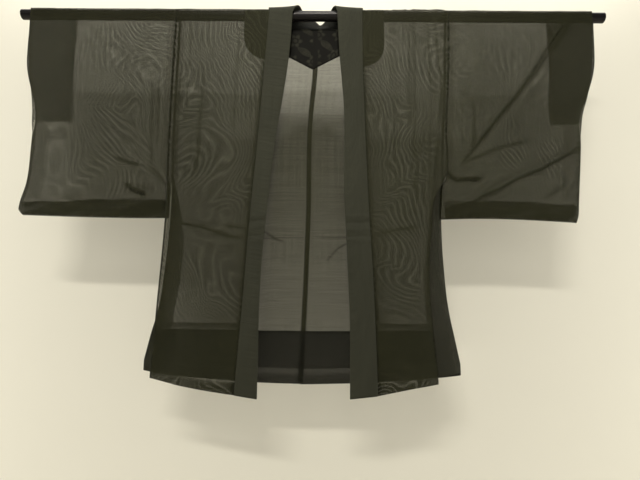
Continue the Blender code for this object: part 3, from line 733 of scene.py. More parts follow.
# The back layer's folds are flatter than the front's, and lie a little further out and up.
FOLD_SHARE = {"front": 1.0, "back": 0.6}
FOLD_SHIFT = {"front": 0.0, "back": 0.012}


def sleeve_inner(side, drop):
    """The sleeve's inner edge: along the armhole, then tucked in behind the body below it."""
    return read(ARMHOLE[side], drop) + SEAM_GAP / 2 - TUCK[side] * smooth((drop - ARMHOLE_END) / 0.03)


def sleeve_at(side, outs, path, inward=0.0, folded=True):
    """Points of the sleeve's form and the pinch at each.

    Its two layers meet in a round edge, a quarter of an ellipse 14 mm deep, along the bottom and the sewn
    sides. At the open mouth the back layer reaches a little further out than the front one.
    """
    depths, pinches = {}, {}
    for layer, drop in drops_at(path).items():
        inner = sleeve_inner(side, drop)
        outer = read(SLEEVE_MOUTH[side], drop)
        share = np.clip((outs - inner) / (outer - inner), 0.0, 1.0)
        far = PANEL_RADIUS + (SLEEVE_BOTTOM_DEPTH - PANEL_RADIUS) * smooth(drop / 0.30)
        near = far + (body_depth(drop, layer) - far) * (1 - smooth((drop - ARMHOLE_END) / 0.10))
        up, pinch = folds_at(SLEEVE_FOLDS[side], outs - FOLD_SHIFT[layer], drop + FOLD_SHIFT[layer])
        up = up * FOLD_SHARE[layer] + slack(outs, drop, SLEEVE_TURN[layer] + SIGN[side])
        up *= smooth((outs - inner) / FOLD_ROOM)
        up = np.where(drop < NECK_CUT, np.maximum(up, 0.0), up)
        to_bottom = read(SLEEVE_BOTTOM[side], outs) - drop
        to_mouth = outer - outs + SEAM_ROUND * (1 - smooth((drop - MOUTH_END + 0.02) / 0.05))
        to_inner = outs - inner + SEAM_ROUND * (1 - smooth((drop - ARMHOLE_END) / 0.02))
        nearest = np.minimum(np.minimum(to_mouth, to_inner), to_bottom)
        room = np.clip(nearest / SEAM_ROUND, 0.0, 1.0)
        closing = np.sqrt(1 - (1 - room) ** 2)
        depths[layer] = (far + (near - far) * (1 - share) ** 2 + up * folded) * closing
        pinches[layer] = pinch * FOLD_SHARE[layer]
    # share is now the back layer's.
    spread = BACK_SPREAD * share ** 2 * smooth(path / OVER_ROD)
    spread *= 1 - smooth((path - OVER_ROD - 0.10) / 0.16)
    return bent_over(side, outs + spread, path, depths, inward), on_its_layer(path, pinches)


def sleeve_layer(side, across):
    """Outs and drops of one sleeve layer, rows going down. across is 0 at the armhole and 1 at the mouth."""
    about = SLEEVE_LEVELS + (LONGEST_SLEEVE - SLEEVE_LEVELS) * BOTTOM_SHARES
    inner = sleeve_inner(side, about)
    outs = inner + (read(SLEEVE_MOUTH[side], about) - inner) * across
    return outs, SLEEVE_LEVELS + (read(SLEEVE_BOTTOM[side], outs) - SLEEVE_LEVELS) * BOTTOM_SHARES


sleeve_gauze = gauze("black_gauze_sleeve", BODY_DARK, BODY_LIGHT, BODY_COVER, watered=0.17)


def build_sleeve(side):
    """One sleeve. Its armhole's seam is doubled, and its two layers are welded where they meet."""
    layer = sleeve_layer(side, SLEEVE_SHARES)
    points, pinch, steep = hung(sleeve_at, side, *over_the_rod(layer, layer))
    dense = STEEP_DENSE * steep + SLEEVE_PINCH_DENSE * pinch + SLEEVE_DENSE[side]
    dense[:, :2] += SEAM_DENSE
    dense[:, -3:] += MOUTH_EDGE_DENSE
    piece = cloth(f"sleeve_bag_{side}", side, points, dense, sleeve_gauze, weld=True)
    declare(piece, f"sleeve_{side}")


for side in ("right", "left"):
    build_sleeve(side)


# The seam allowances.
# They are the same gauze, folded back inside each seam: at the armholes, the sleeve bottoms and mouths, the
# middle of the back and the sides. Where one lies behind the cloth, the cloth looks darker.

ALLOWANCE_STEP = 0.0007
DEEPER_STEP = 0.0012
allowance_gauze = gauze("black_gauze_allowance", BODY_DARK, BODY_LIGHT, 0.08)
# Painted shade: the sleeve bottoms' allowances are about half as bright as the gauze they are cut from.
shaded_close_allowance_gauze = gauze("black_gauze_crumpled_allowance_painted_shade", (0.0105, 0.0103, 0.0060),
                              (0.0155, 0.0152, 0.0088), 0.44)
back_seam_gauze = gauze("black_gauze_back_seam", BODY_DARK, BODY_LIGHT, 0.66)


def strip(name, side, form, outs, path, flat, hangs_on, material=allowance_gauze, inward=ALLOWANCE_STEP,
          edge=0.8, crumpled=0.0):
    """A narrow sheet just inside the body's or the sleeve's form, its outer edge pressed closer by edge."""
    points, pinch = form(side, outs, path, inward=inward)
    dense = 1.3 * pinch + crumpled
    dense[:, -1] += edge
    declare(cloth(name, side, points, dense, material), None)


def upright(line, drops, start, width, columns):
    """Outs and drops of an upright strip of this width, its inner edge lying start past a line."""
    outs = line + start + width * np.linspace(0.0, 1.0, columns)
    return outs, drops + np.zeros_like(outs)


def one_layer(layer, outs, drops):
    """Outs and paths of a sheet on one layer, its rows in the path's order: up the front or down the back."""
    return (outs[::-1], -drops[::-1]) if layer == "front" else (outs, OVER_ROD + drops)


def armhole_strips(side):
    """Up the front, over the shoulder and down the back, 16 mm on the sleeve and 11 mm on the body."""
    drops = np.linspace(0.004, 0.395, 80)[:, None]
    seam = read(ARMHOLE[side], drops)
    sleeve_edge = upright(seam + SEAM_GAP / 2, drops, 0.001, 0.016, 7)
    strip(f"armhole_allowance_{side}", side, sleeve_at, *over_the_rod(sleeve_edge, sleeve_edge),
          (0.016, 0.83), f"sleeve_bag_{side}")
    body_edge = upright(seam, drops, -0.012, 0.011, 6)
    strip(f"shoulder_allowance_{side}", side, body_at, *over_the_rod(body_edge, body_edge),
          (0.011, 0.83), f"body_length_{side}", edge=0.3)


def bottom_strip(side, layer):
    """The sleeve bottom's allowance, turned up 40 mm inside each layer and crumpled with it."""
    share = np.linspace(0.012, 0.985, 70)[None, :]
    down = np.linspace(0.0, 1.0, 12)[:, None]
    inner = read(ARMHOLE[side], 0.475)
    outs = inner + (read(SLEEVE_MOUTH[side], 0.475) - 0.004 - inner) * share + np.zeros_like(down)
    top = 0.4555 + 0.006 * smooth((outs - 0.45) / 0.15) + 0.0012 * np.sin(outs * 60.0)
    outs, path = one_layer(layer, outs, top + (read(SLEEVE_BOTTOM[side], outs) - 0.003 - top) * down)
    drop = drops_at(path)[layer]
    streaks = np.sin(outs * 66.0 + SIGN[side] * drop * 210.0) * np.sin(outs * 29.0 - drop * 60.0 + SIGN[side])
    strip(f"bottom_allowance_{layer}_{side}", side, sleeve_at, outs, path,
          (0.33, 0.042), f"sleeve_bag_{side}", material=shaded_close_allowance_gauze, inward=DEEPER_STEP,
          edge=0.4, crumpled=0.2 + 0.9 * streaks)


def mouth_strip(side, layer):
    """Below the hand's opening, the outer seam's allowance, 34 mm wide."""
    drops = np.linspace(MOUTH_END + 0.001, 0.452, 40)[:, None]
    edge = upright(read(SLEEVE_MOUTH[side], drops), drops, -0.037, 0.034, 9)
    strip(f"mouth_allowance_{layer}_{side}", side, sleeve_at, *one_layer(layer, *edge),
          (0.034, 0.18), f"sleeve_bag_{side}", inward=DEEPER_STEP, edge=0.0)


def side_strip(side, layer):
    """Down the side seam below the armhole, 12 mm of the body's own edge turned in."""
    drops = np.linspace(0.412, 0.722, 80)[:, None]
    edge = upright(read(BODY_SIDE[side, layer], drops), drops, -0.0132, 0.012, 6)
    strip(f"side_allowance_{layer}_{side}", side, body_at, *one_layer(layer, *edge),
          (0.012, 0.31), f"body_length_{side}", edge=0.3)


def middle_strip():
    """The back seam's allowance, 10 mm wide and pressed to the wearer's left, from the neck to the hem."""
    drops = np.linspace(0.030, 0.858, 200)[:, None]
    width = 0.010 - 0.002 * smooth((drops - 0.2) / 0.5)
    edge = upright(read(BACK_MIDDLE, drops), drops, -0.003, width, 6)
    strip("middle_seam_allowance", "left", body_at, *one_layer("back", *edge),
          (0.010, 0.83), "body_length_left", material=back_seam_gauze, edge=1.5)


for side in ("right", "left"):
    armhole_strips(side)
    for layer in ("front", "back"):
        bottom_strip(side, layer)
        mouth_strip(side, layer)
        side_strip(side, layer)
middle_strip()


# The gussets.
# A narrow gauze panel goes between the front and the back below each armhole. It is folded along its middle:
# on the wearer's right the fold lies inside, behind the front, and on the left it stands a little open.

GUSSET_END = 0.836
GUSSET_FOLD = {
    "right": ((0.40, 0.3150), (0.54, 0.2850), (0.65, 0.2900), (0.84, 0.3180)),
    "left": ((0.40, 0.2990), (0.54, 0.2850), (0.65, 0.2830), (0.84, 0.3050)),
}
# Creases across the gusset. Columns: drop at its middle, height outwards.
GUSSET_CREASES = {
    "right": ((0.520, 0.0030), (0.640, -0.0022), (0.700, 0.0020)),
    "left": ((0.630, 0.0034), (0.664, -0.0034), (0.700, 0.0026)),
}
gusset_gauze = {
    "right": gauze("black_gauze_gusset_right", BODY_DARK, BODY_LIGHT, 0.28),
    # Painted shade: the left gusset, which stands a little open, is darker than the right one, though both are
    # the same gauze.
    "left": gauze("black_gauze_gusset_left", (0.0140, 0.0138, 0.0070), (0.0205, 0.0201, 0.0103), 0.60),
}


def build_gusset(side):
    """A sheet from the front's edge to its fold and on to the back's edge, creased across.

    It lies between two straight lines, to and from the fold, and one curve that is pulled towards the fold.
    Its edges stop a fifth of a cell short of the seams.
    """
    edges = []
    for layer in ("front", "back"):
        outs, drops = body_layer(side, layer, np.array([1.0]))
        rows = drops[:, 0] >= ARMHOLE_END
        path = -drops[rows] if layer == "front" else OVER_ROD + drops[rows]
        edges.append(body_at(side, outs[rows], path)[0][:, 0])
    near, far = edges
    middle = (near + far) / 2
    middle[:, 0] = SIGN[side] * read(GUSSET_FOLD[side], -middle[:, 2])
    share = np.linspace(0.0, 1.0, 21)[None, :, None]
    bent = near[:, None] + (middle - near)[:, None] * np.minimum(2 * share, 1.0)
    bent = bent + (far - middle)[:, None] * np.maximum(2 * share - 1.0, 0.0)
    pulled = 2 * middle - (near + far) / 2
    bowed = near[:, None] * (1 - share) ** 2 + far[:, None] * share ** 2
    bowed = bowed + pulled[:, None] * 2 * share * (1 - share)
    points = 0.55 * bent + 0.45 * bowed
    points[:, 0] += (points[:, 1] - points[:, 0]) * 0.2
    points[:, -1] += (points[:, -2] - points[:, -1]) * 0.2
    share = share[..., 0]
    drop = -points[:, :, 2]
    push = np.zeros_like(drop)
    for at, height in GUSSET_CREASES[side]:
        below = drop - at - 0.03 * (share - 0.5)
        push += height * np.sin(share * math.pi) * np.exp(-((below / 0.008) ** 2))
    points[:, :, 0] += SIGN[side] * push
    points[:, :, 2] = np.maximum(points[:, :, 2], -GUSSET_END)
    dense = 3.0 * steepness(points, push) + 1.5 * smooth((share - 0.55) / 0.3)
    piece = cloth(f"side_gusset_{side}", side, points, dense, gusset_gauze[side])
    declare(piece, f"gusset_{side}")


for side in ("right", "left"):
    build_gusset(side)


# The hem's turn-ups.
# The hem is turned up 13 cm inside and its raw edge is folded in again, so the cloth is double in the lowest
# strip and thicker above it. Slip stitches hold the upper edge.

TURNUP_STEP = 0.00135
FOLD_IN_STEP = 0.00215
FOLD_IN = (0.13, 0.76)
LOWER_ROWS = {"front": 0, "back": 4}
# Painted light and shade: the front turn-ups are lighter and the back ones darker than the body's gauze,
# though they are the same cloth.
turnup_gauze = {
    "front": gauze("black_gauze_turnup_front", (0.034, 0.0336, 0.0240), (0.049, 0.0485, 0.0350), 0.33),
    "back": gauze("black_gauze_turnup_back", (0.0140, 0.0137, 0.0090), (0.0205, 0.0200, 0.0132), 0.44),
}


def build_turnup(side, layer):
    """The turned-up sheet, from its upper edge to the hem, and the folded-in edge that lies inside it."""
    to_middle = () if layer == "front" else ((-0.9985,), NECK_SHARES[1:])
    across = np.concatenate([*to_middle, PANEL_SHARES[PANEL_SHARES < 0.9985]])
    outs, drops = body_layer(side, layer, across)
    first = len(UPPER_DROPS) - 1 + LOWER_ROWS[layer]
    outs, drops = outs[first:], drops[first:]
    points, pinch = body_at(side, *one_layer(layer, outs, drops), inward=TURNUP_STEP)
    dense = 0.4 * pinch
    upper_edge = (-2, -1) if layer == "front" else (0, 1)
    dense[upper_edge, :] += 0.8
    outer = cloth(f"hem_turnup_{layer}_{side}", side, points, dense, turnup_gauze[layer])
    declare(outer, f"turnup_{layer}_{side}")
    low, high = (round(share * HEM_STEPS) - LOWER_ROWS[layer] for share in FOLD_IN)
    folded_in = one_layer(layer, outs[low:high + 1], drops[low:high + 1])
    points, _ = body_at(side, *folded_in, inward=FOLD_IN_STEP)
    dense = np.zeros(points.shape[:2])
    dense[(0, -1), :] += 0.5
    inner = cloth(f"hem_fold_in_{layer}_{side}", side, points, dense, turnup_gauze[layer])
    declare(inner, None)


for side in ("right", "left"):
    for layer in ("front", "back"):
        build_turnup(side, layer)


# The mouth facings.
# A strip of close black silk, about 10 cm wide, lines the inside of each sleeve's mouth, down to the end of
# the opening. It is slip-stitched along both edges.

FACING_STEP = 0.00135
FACING_SHORT = 0.001
FACING_WIDTH = {"right": 0.108, "left": 0.106}
facing_silk = {
    "right": gauze("close_black_silk_right", (0.021, 0.0206, 0.0125), (0.030, 0.0294, 0.0180), 0.28),
    "left": gauze("close_black_silk_left", (0.019, 0.0186, 0.0115), (0.027, 0.0264, 0.0165), 0.36),
}


def build_facing(side):
    """Down both layers to the mouth's end, following the sleeve's form inside it."""
    drops = np.linspace(0.005, MOUTH_END, 60)[:, None]
    outer = read(SLEEVE_MOUTH[side], drops) - FACING_SHORT
    inner = SLEEVE_MOUTH[side][0][1] - FACING_WIDTH[side] - FACING_SHORT - 0.002 * drops / MOUTH_END
    outs = inner + (outer - inner) * np.linspace(0.0, 1.0, 24)
    layer = outs, drops + np.zeros_like(outs)
    points, pinch = sleeve_at(side, *over_the_rod(layer, layer), inward=FACING_STEP)
    dense = 0.4 * pinch
    dense[:, :2] += 0.4
    dense[(0, -1), :] += 0.4
    piece = cloth(f"sleeve_mouth_facing_{side}", side, points, dense, facing_silk[side])
    declare(piece, f"mouth_facing_{side}")


for side in ("right", "left"):
    build_facing(side)


# The shoulder lining.
# Dark figured satin lines the shoulders: two front pieces with a rounded lower corner, and a back piece that
# comes to a point at the middle seam. It is in one, with the neck left open.

LINING_STEP = 0.00135
# Lower edges as (out, drop).
LINING_FRONT = {
    "right": ((0.095, 0.1210), (0.114, 0.1190), (0.128, 0.1150), (0.142, 0.1070), (0.152, 0.0960),
              (0.159, 0.0830), (0.163, 0.0620)),
    "left": ((0.100, 0.1370), (0.121, 0.1345), (0.138, 0.1310), (0.151, 0.1240), (0.160, 0.1140),
             (0.166, 0.1000), (0.169, 0.0800)),
}
LINING_BACK = ((0.00, 0.130), (0.06, 0.098), (0.12, 0.070), (0.20, 0.055))
LINING_OUT = {"right": 0.163, "left": 0.169}
LINING_STEPS = 24
SHORT_STEPS = 5
NECK_COLUMNS = 25
LINING_INNER = 0.100
LINING_ROUND = 0.004
FIGURE_REPEAT = 0.054


def figured_satin():
    """Dark satin with a woven design: round blossoms and long brushed leaves, by turns on a grid.

    Its reverse, which shows through the fronts, is plain and duller.
    A blossom is a disc whose edge swings in and out six times, with a ring and six rays left dark.
    A leaf is a narrow ellipse set aslant, with fine ribs that slant away from its middle.
    """
    material, tree, shader = new_material("dark_figured_satin", {
        "Base Color": (0.012, 0.0115, 0.010), "Roughness": 0.42, "Specular IOR Level": 0.05,
        "Specular Tint": (1.0, 0.96, 0.80)})
    place = node(tree, "ShaderNodeUVMap", {"uv_map": "cloth"}).outputs[0]
    wander = noise(place, 38.0, 2.0)
    nudge = scaled(wander.socket.node.outputs["Color"], 0.008)
    moved = node(tree, "ShaderNodeVectorMath", {"operation": "ADD"}, {0: place, 1: nudge}).outputs[0]

    def in_cell(across, along):
        """Place in its grid cell, from -0.5 to 0.5 each way, with the grid moved across and along."""
        cell = node(tree, "ShaderNodeMapping", (), {"Vector": moved, "Location": (across, along, 0.0),
                                                    "Scale": (1 / FIGURE_REPEAT, 1 / FIGURE_REPEAT, 1.0)})
        return [maths("FRACT", part) - 0.5 for part in split(cell.outputs[0])[:2]]

    across, along = in_cell(0.18, 0.38)
    radius = maths("SQRT", across * across + along * along)
    angle = maths("ARCTAN2", along, across)
    edge = maths("COSINE", angle * 6.0) * 0.05 + 0.30
    disc = ranged(edge - radius, -0.02, 0.09)
    ring = ranged(maths("ABSOLUTE", radius - 0.13), 0.005, 0.06)
    petals = ranged(maths("ABSOLUTE", maths("COSINE", angle * 3.0)), 0.05, 0.35, 0.35, 1.0)
    blossom = disc * (ring * petals)
    across, along = in_cell(0.68, 0.86)
    slant = math.radians(34)
    lengthways = across * math.cos(slant) + along * math.sin(slant)
    widthways = along * math.cos(slant) - across * math.sin(slant)
    size = maths("POWER", lengthways * 2.3, 2.0) + maths("POWER", widthways * 7.0, 2.0)
    ribs = maths("SINE", lengthways * 60.0 + maths("ABSOLUTE", widthways) * -90.0)
    leaf = ranged(size, 1.0, 0.75) * ranged(ribs, -0.6, 0.5, 0.3, 1.0)
    worn = ranged(wander, 0.30, 0.62, 0.25, 1.0)
    dense = Value(node(tree, "ShaderNodeAttribute", {"attribute_name": "dense"}).outputs["Fac"])
    shown = maths("MAXIMUM", blossom, leaf) * worn * ranged(dense, 0.0, 1.0, 1.0, 0.0)
    face = between(shown, (0.0055, 0.0052, 0.0040), (0.038, 0.0365, 0.025))
    depth = split(node(tree, "ShaderNodeTexCoord").outputs["Object"])[1]
    give(shader["Base Color"], between(ranged(depth, -0.004, -0.010), face, (0.043, 0.0420, 0.0260)))
    give(shader["Roughness"], ranged(shown, 0.0, 1.0, 0.50, 0.62))
    weave = node(tree, "ShaderNodeGroup", {"node_tree": WEAVE},
                 {"Warps per metre": 2400.0, "Picks per metre": 900.0, "Place": place}).outputs
    relief = {"Strength": 0.15, "Distance": 0.0002, "Height": Value(weave["Height"]) + shown}
    give(shader["Normal"], node(tree, "ShaderNodeBump", (), relief).outputs[0])
    return material


def build_lining():
    """Both halves, joined at the middle. Each column runs from its front edge to its back edge."""
    halves = []
    for side in ("right", "left"):
        neck = np.linspace(SIGN[side] * read(BACK_MIDDLE, 0.03), LINING_INNER, NECK_COLUMNS + 1)[:-1]
        last = LINING_OUT[side] - LINING_ROUND
        rounded = last + LINING_ROUND * np.sin(np.linspace(0, 1, 5)[1:] * math.pi / 2)
        outs = np.concatenate([neck, np.linspace(LINING_INNER, last, 16), rounded])
        start = -read(LINING_FRONT[side], outs)
        end = OVER_ROD + read(LINING_BACK, outs)
        neck_end = OVER_ROD + NECK_CUT
        share = np.linspace(0.0, 1.0, LINING_STEPS + 1)[:, None]
        straight = np.concatenate([np.linspace(0.0, OVER_ROD, OVER_STEPS + 1)[1:],
                                   np.linspace(OVER_ROD, neck_end, SHORT_STEPS + 1)[1:]])[:, None]
        path = np.concatenate([start * (1 - share), straight + np.zeros_like(outs),
                               neck_end + (end - neck_end) * share[1:]])
        points, _ = body_at(side, outs + np.zeros_like(path), path, inward=LINING_STEP)
        halves.append(points)
    right, left = halves
    whole = np.concatenate([right[:, :0:-1], left], axis=1)
    middle = right.shape[1] - 1
    keep = np.ones((whole.shape[0] - 1, whole.shape[1] - 1), bool)
    keep[:LINING_STEPS + OVER_STEPS + SHORT_STEPS, middle - NECK_COLUMNS:middle + NECK_COLUMNS] = False
    dense = 1.2 * np.exp(-(((whole[..., 0] - 0.006) / 0.0065) ** 4))
    dense[-2:] += 0.8
    piece = cloth("shoulder_lining_satin", "left", whole, dense, figured_satin(), keep=keep)
    declare(piece, "shoulder_lining")


build_lining()


# The collar.
# One long band of the gauze, folded lengthwise to 57 mm and several layers thick. It is sewn to both fronts
# and round the neck, stands up behind it, and hangs open down the two fronts to the hem.

COLLAR_THICKNESS = 0.0024
COLLAR_SKIN = 0.0005
COLLAR_STEP = 0.0028
COLLAR_FREE_STEP = 0.0015
COLLAR_END = 0.88
HEM_STRETCH = 0.08
COLLAR_EDGE = {
    "right": ((0.00, 0.0480), (0.11, 0.0550), (0.21, 0.0670), (0.30, 0.0810), (0.46, 0.0960), (0.61, 0.1060),
              (0.88, 0.1076)),
    "left": ((0.00, 0.0575), (0.12, 0.0641), (0.22, 0.0722), (0.46, 0.0739), (0.59, 0.0792), (0.74, 0.0841),
             (0.88, 0.0835)),
}
# Round the neck. Columns: sewn out, y, z, then free out, y, z.
COLLAR_NECK = {
    "right": (
        (0.106, -0.0126, 0.0128, 0.04, -0.015, 0.016),
        (0.108, 0.0, 0.0178, 0.034, 0.0, 0.028),
        (0.108, 0.0132, 0.0122, 0.029, 0.016, 0.031),
        (0.1075, 0.0184, -0.004, 0.024, 0.028, 0.027),
        (0.105, 0.0192, -0.023, 0.0185, 0.0335, 0.02),
        (0.088, 0.02, -0.03, 0.012, 0.036, 0.0155),
    ),
    "left": (
        (0.119, -0.0126, 0.0128, 0.054, -0.015, 0.015),
        (0.121, 0.0, 0.0178, 0.05, 0.0, 0.0265),
        (0.121, 0.0132, 0.0122, 0.045, 0.016, 0.03),
        (0.1205, 0.0184, -0.004, 0.04, 0.028, 0.025),
        (0.118, 0.0192, -0.023, 0.035, 0.034, 0.018),
        (0.1, 0.02, -0.03, 0.029, 0.036, 0.01),
    ),
}
# The same columns across the middle of the back, with signed outs.
COLLAR_BACK = (
    (-0.05, 0.0204, -0.03, -0.004, 0.037, 0.0125),
    (0.0, 0.0206, -0.03, 0.005, 0.0374, 0.0105),
    (0.05, 0.0204, -0.03, 0.018, 0.037, 0.0005),
)
# Creases across the band, from its years in a drawer. Columns: drop at its sewn edge, at its free edge,
# half width, height, pinch.
COLLAR_CREASES = {
    "right": ((0.497, 0.494, 0.0050, 0.0014, 0.0), (0.510, 0.505, 0.0045, -0.0022, 0.5),
              (0.527, 0.518, 0.0055, 0.0018, 0.0), (0.543, 0.538, 0.0040, -0.0018, 0.4),
              (0.555, 0.549, 0.0055, 0.0015, 0.0)),
    "left": ((0.496, 0.497, 0.0050, 0.0014, 0.0), (0.509, 0.512, 0.0045, -0.0022, 0.5),
             (0.525, 0.528, 0.0055, 0.0018, 0.0), (0.540, 0.542, 0.0040, -0.0016, 0.4),
             (0.552, 0.549, 0.0055, 0.0014, 0.0)),
}
COLLAR_DROPS = np.concatenate([np.linspace(0.0, 0.48, 97), np.linspace(0.48, 0.57, 61)[1:],
                               np.linspace(0.57, COLLAR_END, 61)[1:]])
NECK_STATIONS = 96
BAND_STEPS = 16


def collar_front(side):
    """Sewn and free lines down one front, lying on the body's own form with its folds.

    The lowest 8 cm are stretched to end at the hem.
    """
    drops = COLLAR_DROPS
    sewn = read(COLLAR_SEAM[side], drops)
    up, _ = folds_at(BODY_FOLDS[side, "front"], sewn, drops)
    depth = body_depth(drops, "front") + up + COLLAR_STEP
    lines = []
    for outs, extra in ((sewn, 0.0), (read(COLLAR_EDGE[side], drops), COLLAR_FREE_STEP)):
        stretch = smooth((drops - COLLAR_END + HEM_STRETCH) / HEM_STRETCH)
        lowered = drops + (read(HEM[side, "front"], outs) - COLLAR_END) * stretch
        lines.append(np.stack([SIGN[side] * outs, -depth - extra, -lowered], axis=-1))
    return lines


def through(points, count):
    """A smooth curve through points: cubics with the neighbours' mean slope, at even steps of length."""
    length = np.concatenate([[0.0], np.cumsum(np.linalg.norm(np.diff(points, axis=0), axis=1))])
    at = np.linspace(0.0, length[-1], count)
    return np.stack([read(np.stack([length, points[:, axis]], axis=1), at) for axis in range(3)], axis=-1)


def crumple(side, drop, share):
    """The collar's crease heights and pinches, by drop and share across the band."""
    height = np.zeros(np.broadcast(drop, share).shape)
    pinch = np.zeros_like(height)
    for sewn, free, half_width, rise, tightness in COLLAR_CREASES[side]:
        line = sewn + (free - sewn) * share + 0.0012 * np.sin(share * 9.0 + sewn * 700.0)
        bell = np.exp(-(((drop - line) / half_width) ** 2))
        height += rise * bell
        pinch += tightness * bell
    height += 0.0005 * np.sin(drop * 34.0 + share * 2.0) + 0.0003 * np.sin(drop * 83.0 - share * 4.0)
    return height, pinch


def collar_cloth():
    """The band's gauze, many layers thick, so almost nothing shows through. Round the back of the neck its
    colour is darkened as painted shade.
    """
    material = gauze("black_gauze_collar", (0.030, 0.0300, 0.0195), (0.041, 0.0410, 0.0268), 0.985, bump=0.4,
                     sheen=0.06)
    tone = material.node_tree.nodes["Principled BSDF"].inputs["Base Color"]
    depth = split(node(material.node_tree, "ShaderNodeTexCoord").outputs["Object"])[1]
    # Painted shade: the colour falls to 0.22 of itself towards the back of the neck, where the collar's inner
    # face lies in shade.
    give(tone, scaled(tone.links[0].from_socket, ranged(depth, 0.0, 0.016, 1.0, 0.22)))
    return material


def build_collar():
    """A folded sheet: across the band's outer face, round its free edge and back across its inner face.

    Its section is a flat oval: half the thickness times a sine to the power 0.3, along a cosine of the same
    angle.
    """
    front = {side: collar_front(side) for side in ("right", "left")}
    lines = []
    for edge in (0, 1):
        right, back, left = (np.array(table)[:, 3 * edge:3 * edge + 3]
                             for table in (COLLAR_NECK["right"], COLLAR_BACK, COLLAR_NECK["left"]))
        neck = through(np.concatenate([front["right"][edge][:1], right * (-1, 1, 1), back, left[::-1],
                                       front["left"][edge][:1]]), NECK_STATIONS)
        lines.append(np.concatenate([front["right"][edge][:0:-1], neck, front["left"][edge][1:]]))
    sewn, free = lines
    ahead = np.gradient((sewn + free) / 2, axis=0)
    outward = np.cross(free - sewn, ahead)
    outward /= np.linalg.norm(outward, axis=1, keepdims=True)
    turns = np.concatenate([np.linspace(0.06, 1.0, BAND_STEPS), np.linspace(1.0, 1.94, BAND_STEPS)[1:]])
    angle = turns * math.pi
    share = (1 - np.cos(angle)) / 2
    lift = np.sign(np.sin(angle)) * np.abs(np.sin(angle)) ** 0.3
    lift[BAND_STEPS - 1] = 0.0
    drop = np.concatenate([COLLAR_DROPS[:0:-1], np.zeros(NECK_STATIONS), COLLAR_DROPS[1:]])[:, None]
    on_right = (sewn[:, :1] + free[:, :1]) < 0
    height, pinch = (np.where(on_right, right, left)
                     for right, left in zip(crumple("right", drop, share), crumple("left", drop, share)))
    offset = lift * COLLAR_THICKNESS / 2 + height + 0.0006 * np.sin(share * math.pi)
    points = sewn[:, None] + (free - sewn)[:, None] * share[None, :, None]
    points = points + outward[:, None] * offset[..., None]
    piece = cloth("collar_band", "left", points, 0.5 * pinch, collar_cloth(), thickness=COLLAR_SKIN)
    declare(piece, "collar")


build_collar()


# The place it is shown in.
# A pale board stands close behind the garment and a pale floor lies under it. The board has no back face, so
# the garment's back can be seen past it. Light comes softly from above and in front, with a little all round.

BOARD_BACK = 0.235
BOARD_TOP = 0.75
BOARD_HALF_WIDTH = 1.25
FLOOR_LEVEL = -1.62
FLOOR_HALF_WIDTH = 4.0
BOARD_COLOUR = (0.830, 0.790, 0.655)
FLOOR_COLOUR = (0.72, 0.70, 0.64)
WARM_WHITE = (1.0, 0.985, 0.95)


def plaster(name, colour, one_sided):
    """Matt pale paint with a faint unevenness. A one-sided surface can't be seen from behind."""
    finish = {"Base Color": colour, "Roughness": 0.9, "Specular IOR Level": 0.1}
    material, tree, shader = new_material(name, finish)
    patches = noise(node(tree, "ShaderNodeTexCoord").outputs["Object"], 1.6, 3.0)
    give(shader["Base Color"], between(patches, [0.985 * part for part in colour], colour))
    if one_sided:
        painted = tree.nodes["Principled BSDF"].outputs[0]
        clear = node(tree, "ShaderNodeBsdfTransparent").outputs[0]
        behind = node(tree, "ShaderNodeNewGeometry").outputs["Backfacing"]
        choice = node(tree, "ShaderNodeMixShader", (), {0: behind, 1: painted, 2: clear})
        give(tree.nodes["Material Output"].inputs["Surface"], choice.outputs[0])
    return material


def flat_surface(name, corners, material):
    """One four-cornered face, which isn't part of the garment."""
    mesh = bpy.data.meshes.new(name)
    mesh.from_pydata(corners, [], [(0, 1, 2, 3)])
    mesh.materials.append(material)
    surface = bpy.data.objects.new(name, mesh)
    bpy.context.scene.collection.objects.link(surface)


def lamp(name, kind, place, aim, power, shape):
    """A warm white lamp at a place, turned to face its aim. shape holds the settings of its light's shape."""
    light = bpy.data.lights.new(name, kind)
    light.energy = power
    light.color = WARM_WHITE
    for setting, value in shape.items():
        setattr(light, setting, value)
    holder = bpy.data.objects.new(name, light)
    turned = (Vector(aim) - Vector(place)).to_track_quat("-Z", "Y").to_matrix().to_4x4()
    holder.matrix_world = Matrix.Translation(place) @ turned
    bpy.context.scene.collection.objects.link(holder)


def screen(width, height):
    """The shape of a wide lamp's light."""
    return {"shape": "RECTANGLE", "size": width, "size_y": height}


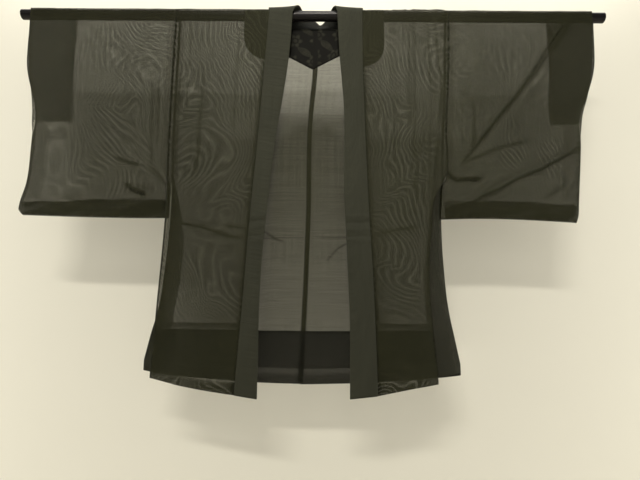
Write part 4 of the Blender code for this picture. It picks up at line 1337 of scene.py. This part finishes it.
flat_surface("board", [(x * BOARD_HALF_WIDTH, BOARD_BACK, z)
                       for x, z in ((-1, FLOOR_LEVEL), (1, FLOOR_LEVEL), (1, BOARD_TOP), (-1, BOARD_TOP))],
             plaster("pale_board", BOARD_COLOUR, one_sided=True))
flat_surface("floor", [(x * FLOOR_HALF_WIDTH, y * FLOOR_HALF_WIDTH, FLOOR_LEVEL)
                       for x, y in ((-1, -1), (1, -1), (1, 1), (-1, 1))],
             plaster("pale_floor", FLOOR_COLOUR, one_sided=False))

world = bpy.data.worlds.new("soft_room_light")
world.use_nodes = True
room = world.node_tree.nodes["Background"].inputs
give(room["Color"], WARM_WHITE)
give(room["Strength"], 0.28)
bpy.context.scene.world = world
lamp("key_light", "AREA", (-0.5, -3.1, 1.34), (0.0, 0.0, -0.2), 43.0, screen(1.2, 0.16))
lamp("neck_light", "SPOT", (0.08, -1.9, 1.95), (0.08, 0.05, -0.10), 118.0,
     {"shadow_soft_size": 0.07, "spot_size": math.radians(18.0), "spot_blend": 0.7})
lamp("wall_light", "AREA", (0.0, 0.09, 0.42), (0.0, BOARD_BACK, 0.26), 3.0, screen(1.9, 0.10))
lamp("top_light", "AREA", (0.0, -0.62, 1.15), (0.0, 0.0, 0.0), 5.5, screen(2.2, 0.25))
lamp("front_fill", "AREA", (0.6, -3.2, -0.5), (0.0, 0.0, -0.6), 7.0, screen(2.2, 1.6))
for name, to_side in (("left_side_light", -1), ("right_side_light", 1)):
    lamp(name, "AREA", (2.2 * to_side, -0.55, -0.75), (0.7 * to_side, BOARD_BACK, -0.8), 17.0,
         screen(0.5, 1.0))

camera_data = bpy.data.cameras.new("camera")
camera_data.lens = 26.0
camera_data.sensor_width = 36.0
camera = bpy.data.objects.new("camera", camera_data)
camera.matrix_world = (Matrix.Translation((0.02, -1.026, -0.695))
                       @ Matrix.Rotation(math.radians(98.3), 4, "X")
                       @ Matrix.Rotation(math.radians(0.35), 4, "Z"))
bpy.context.scene.collection.objects.link(camera)
bpy.context.scene.camera = camera
bpy.context.scene.view_settings.view_transform = "Standard"
bpy.context.scene.cycles.transparent_max_bounces = 48
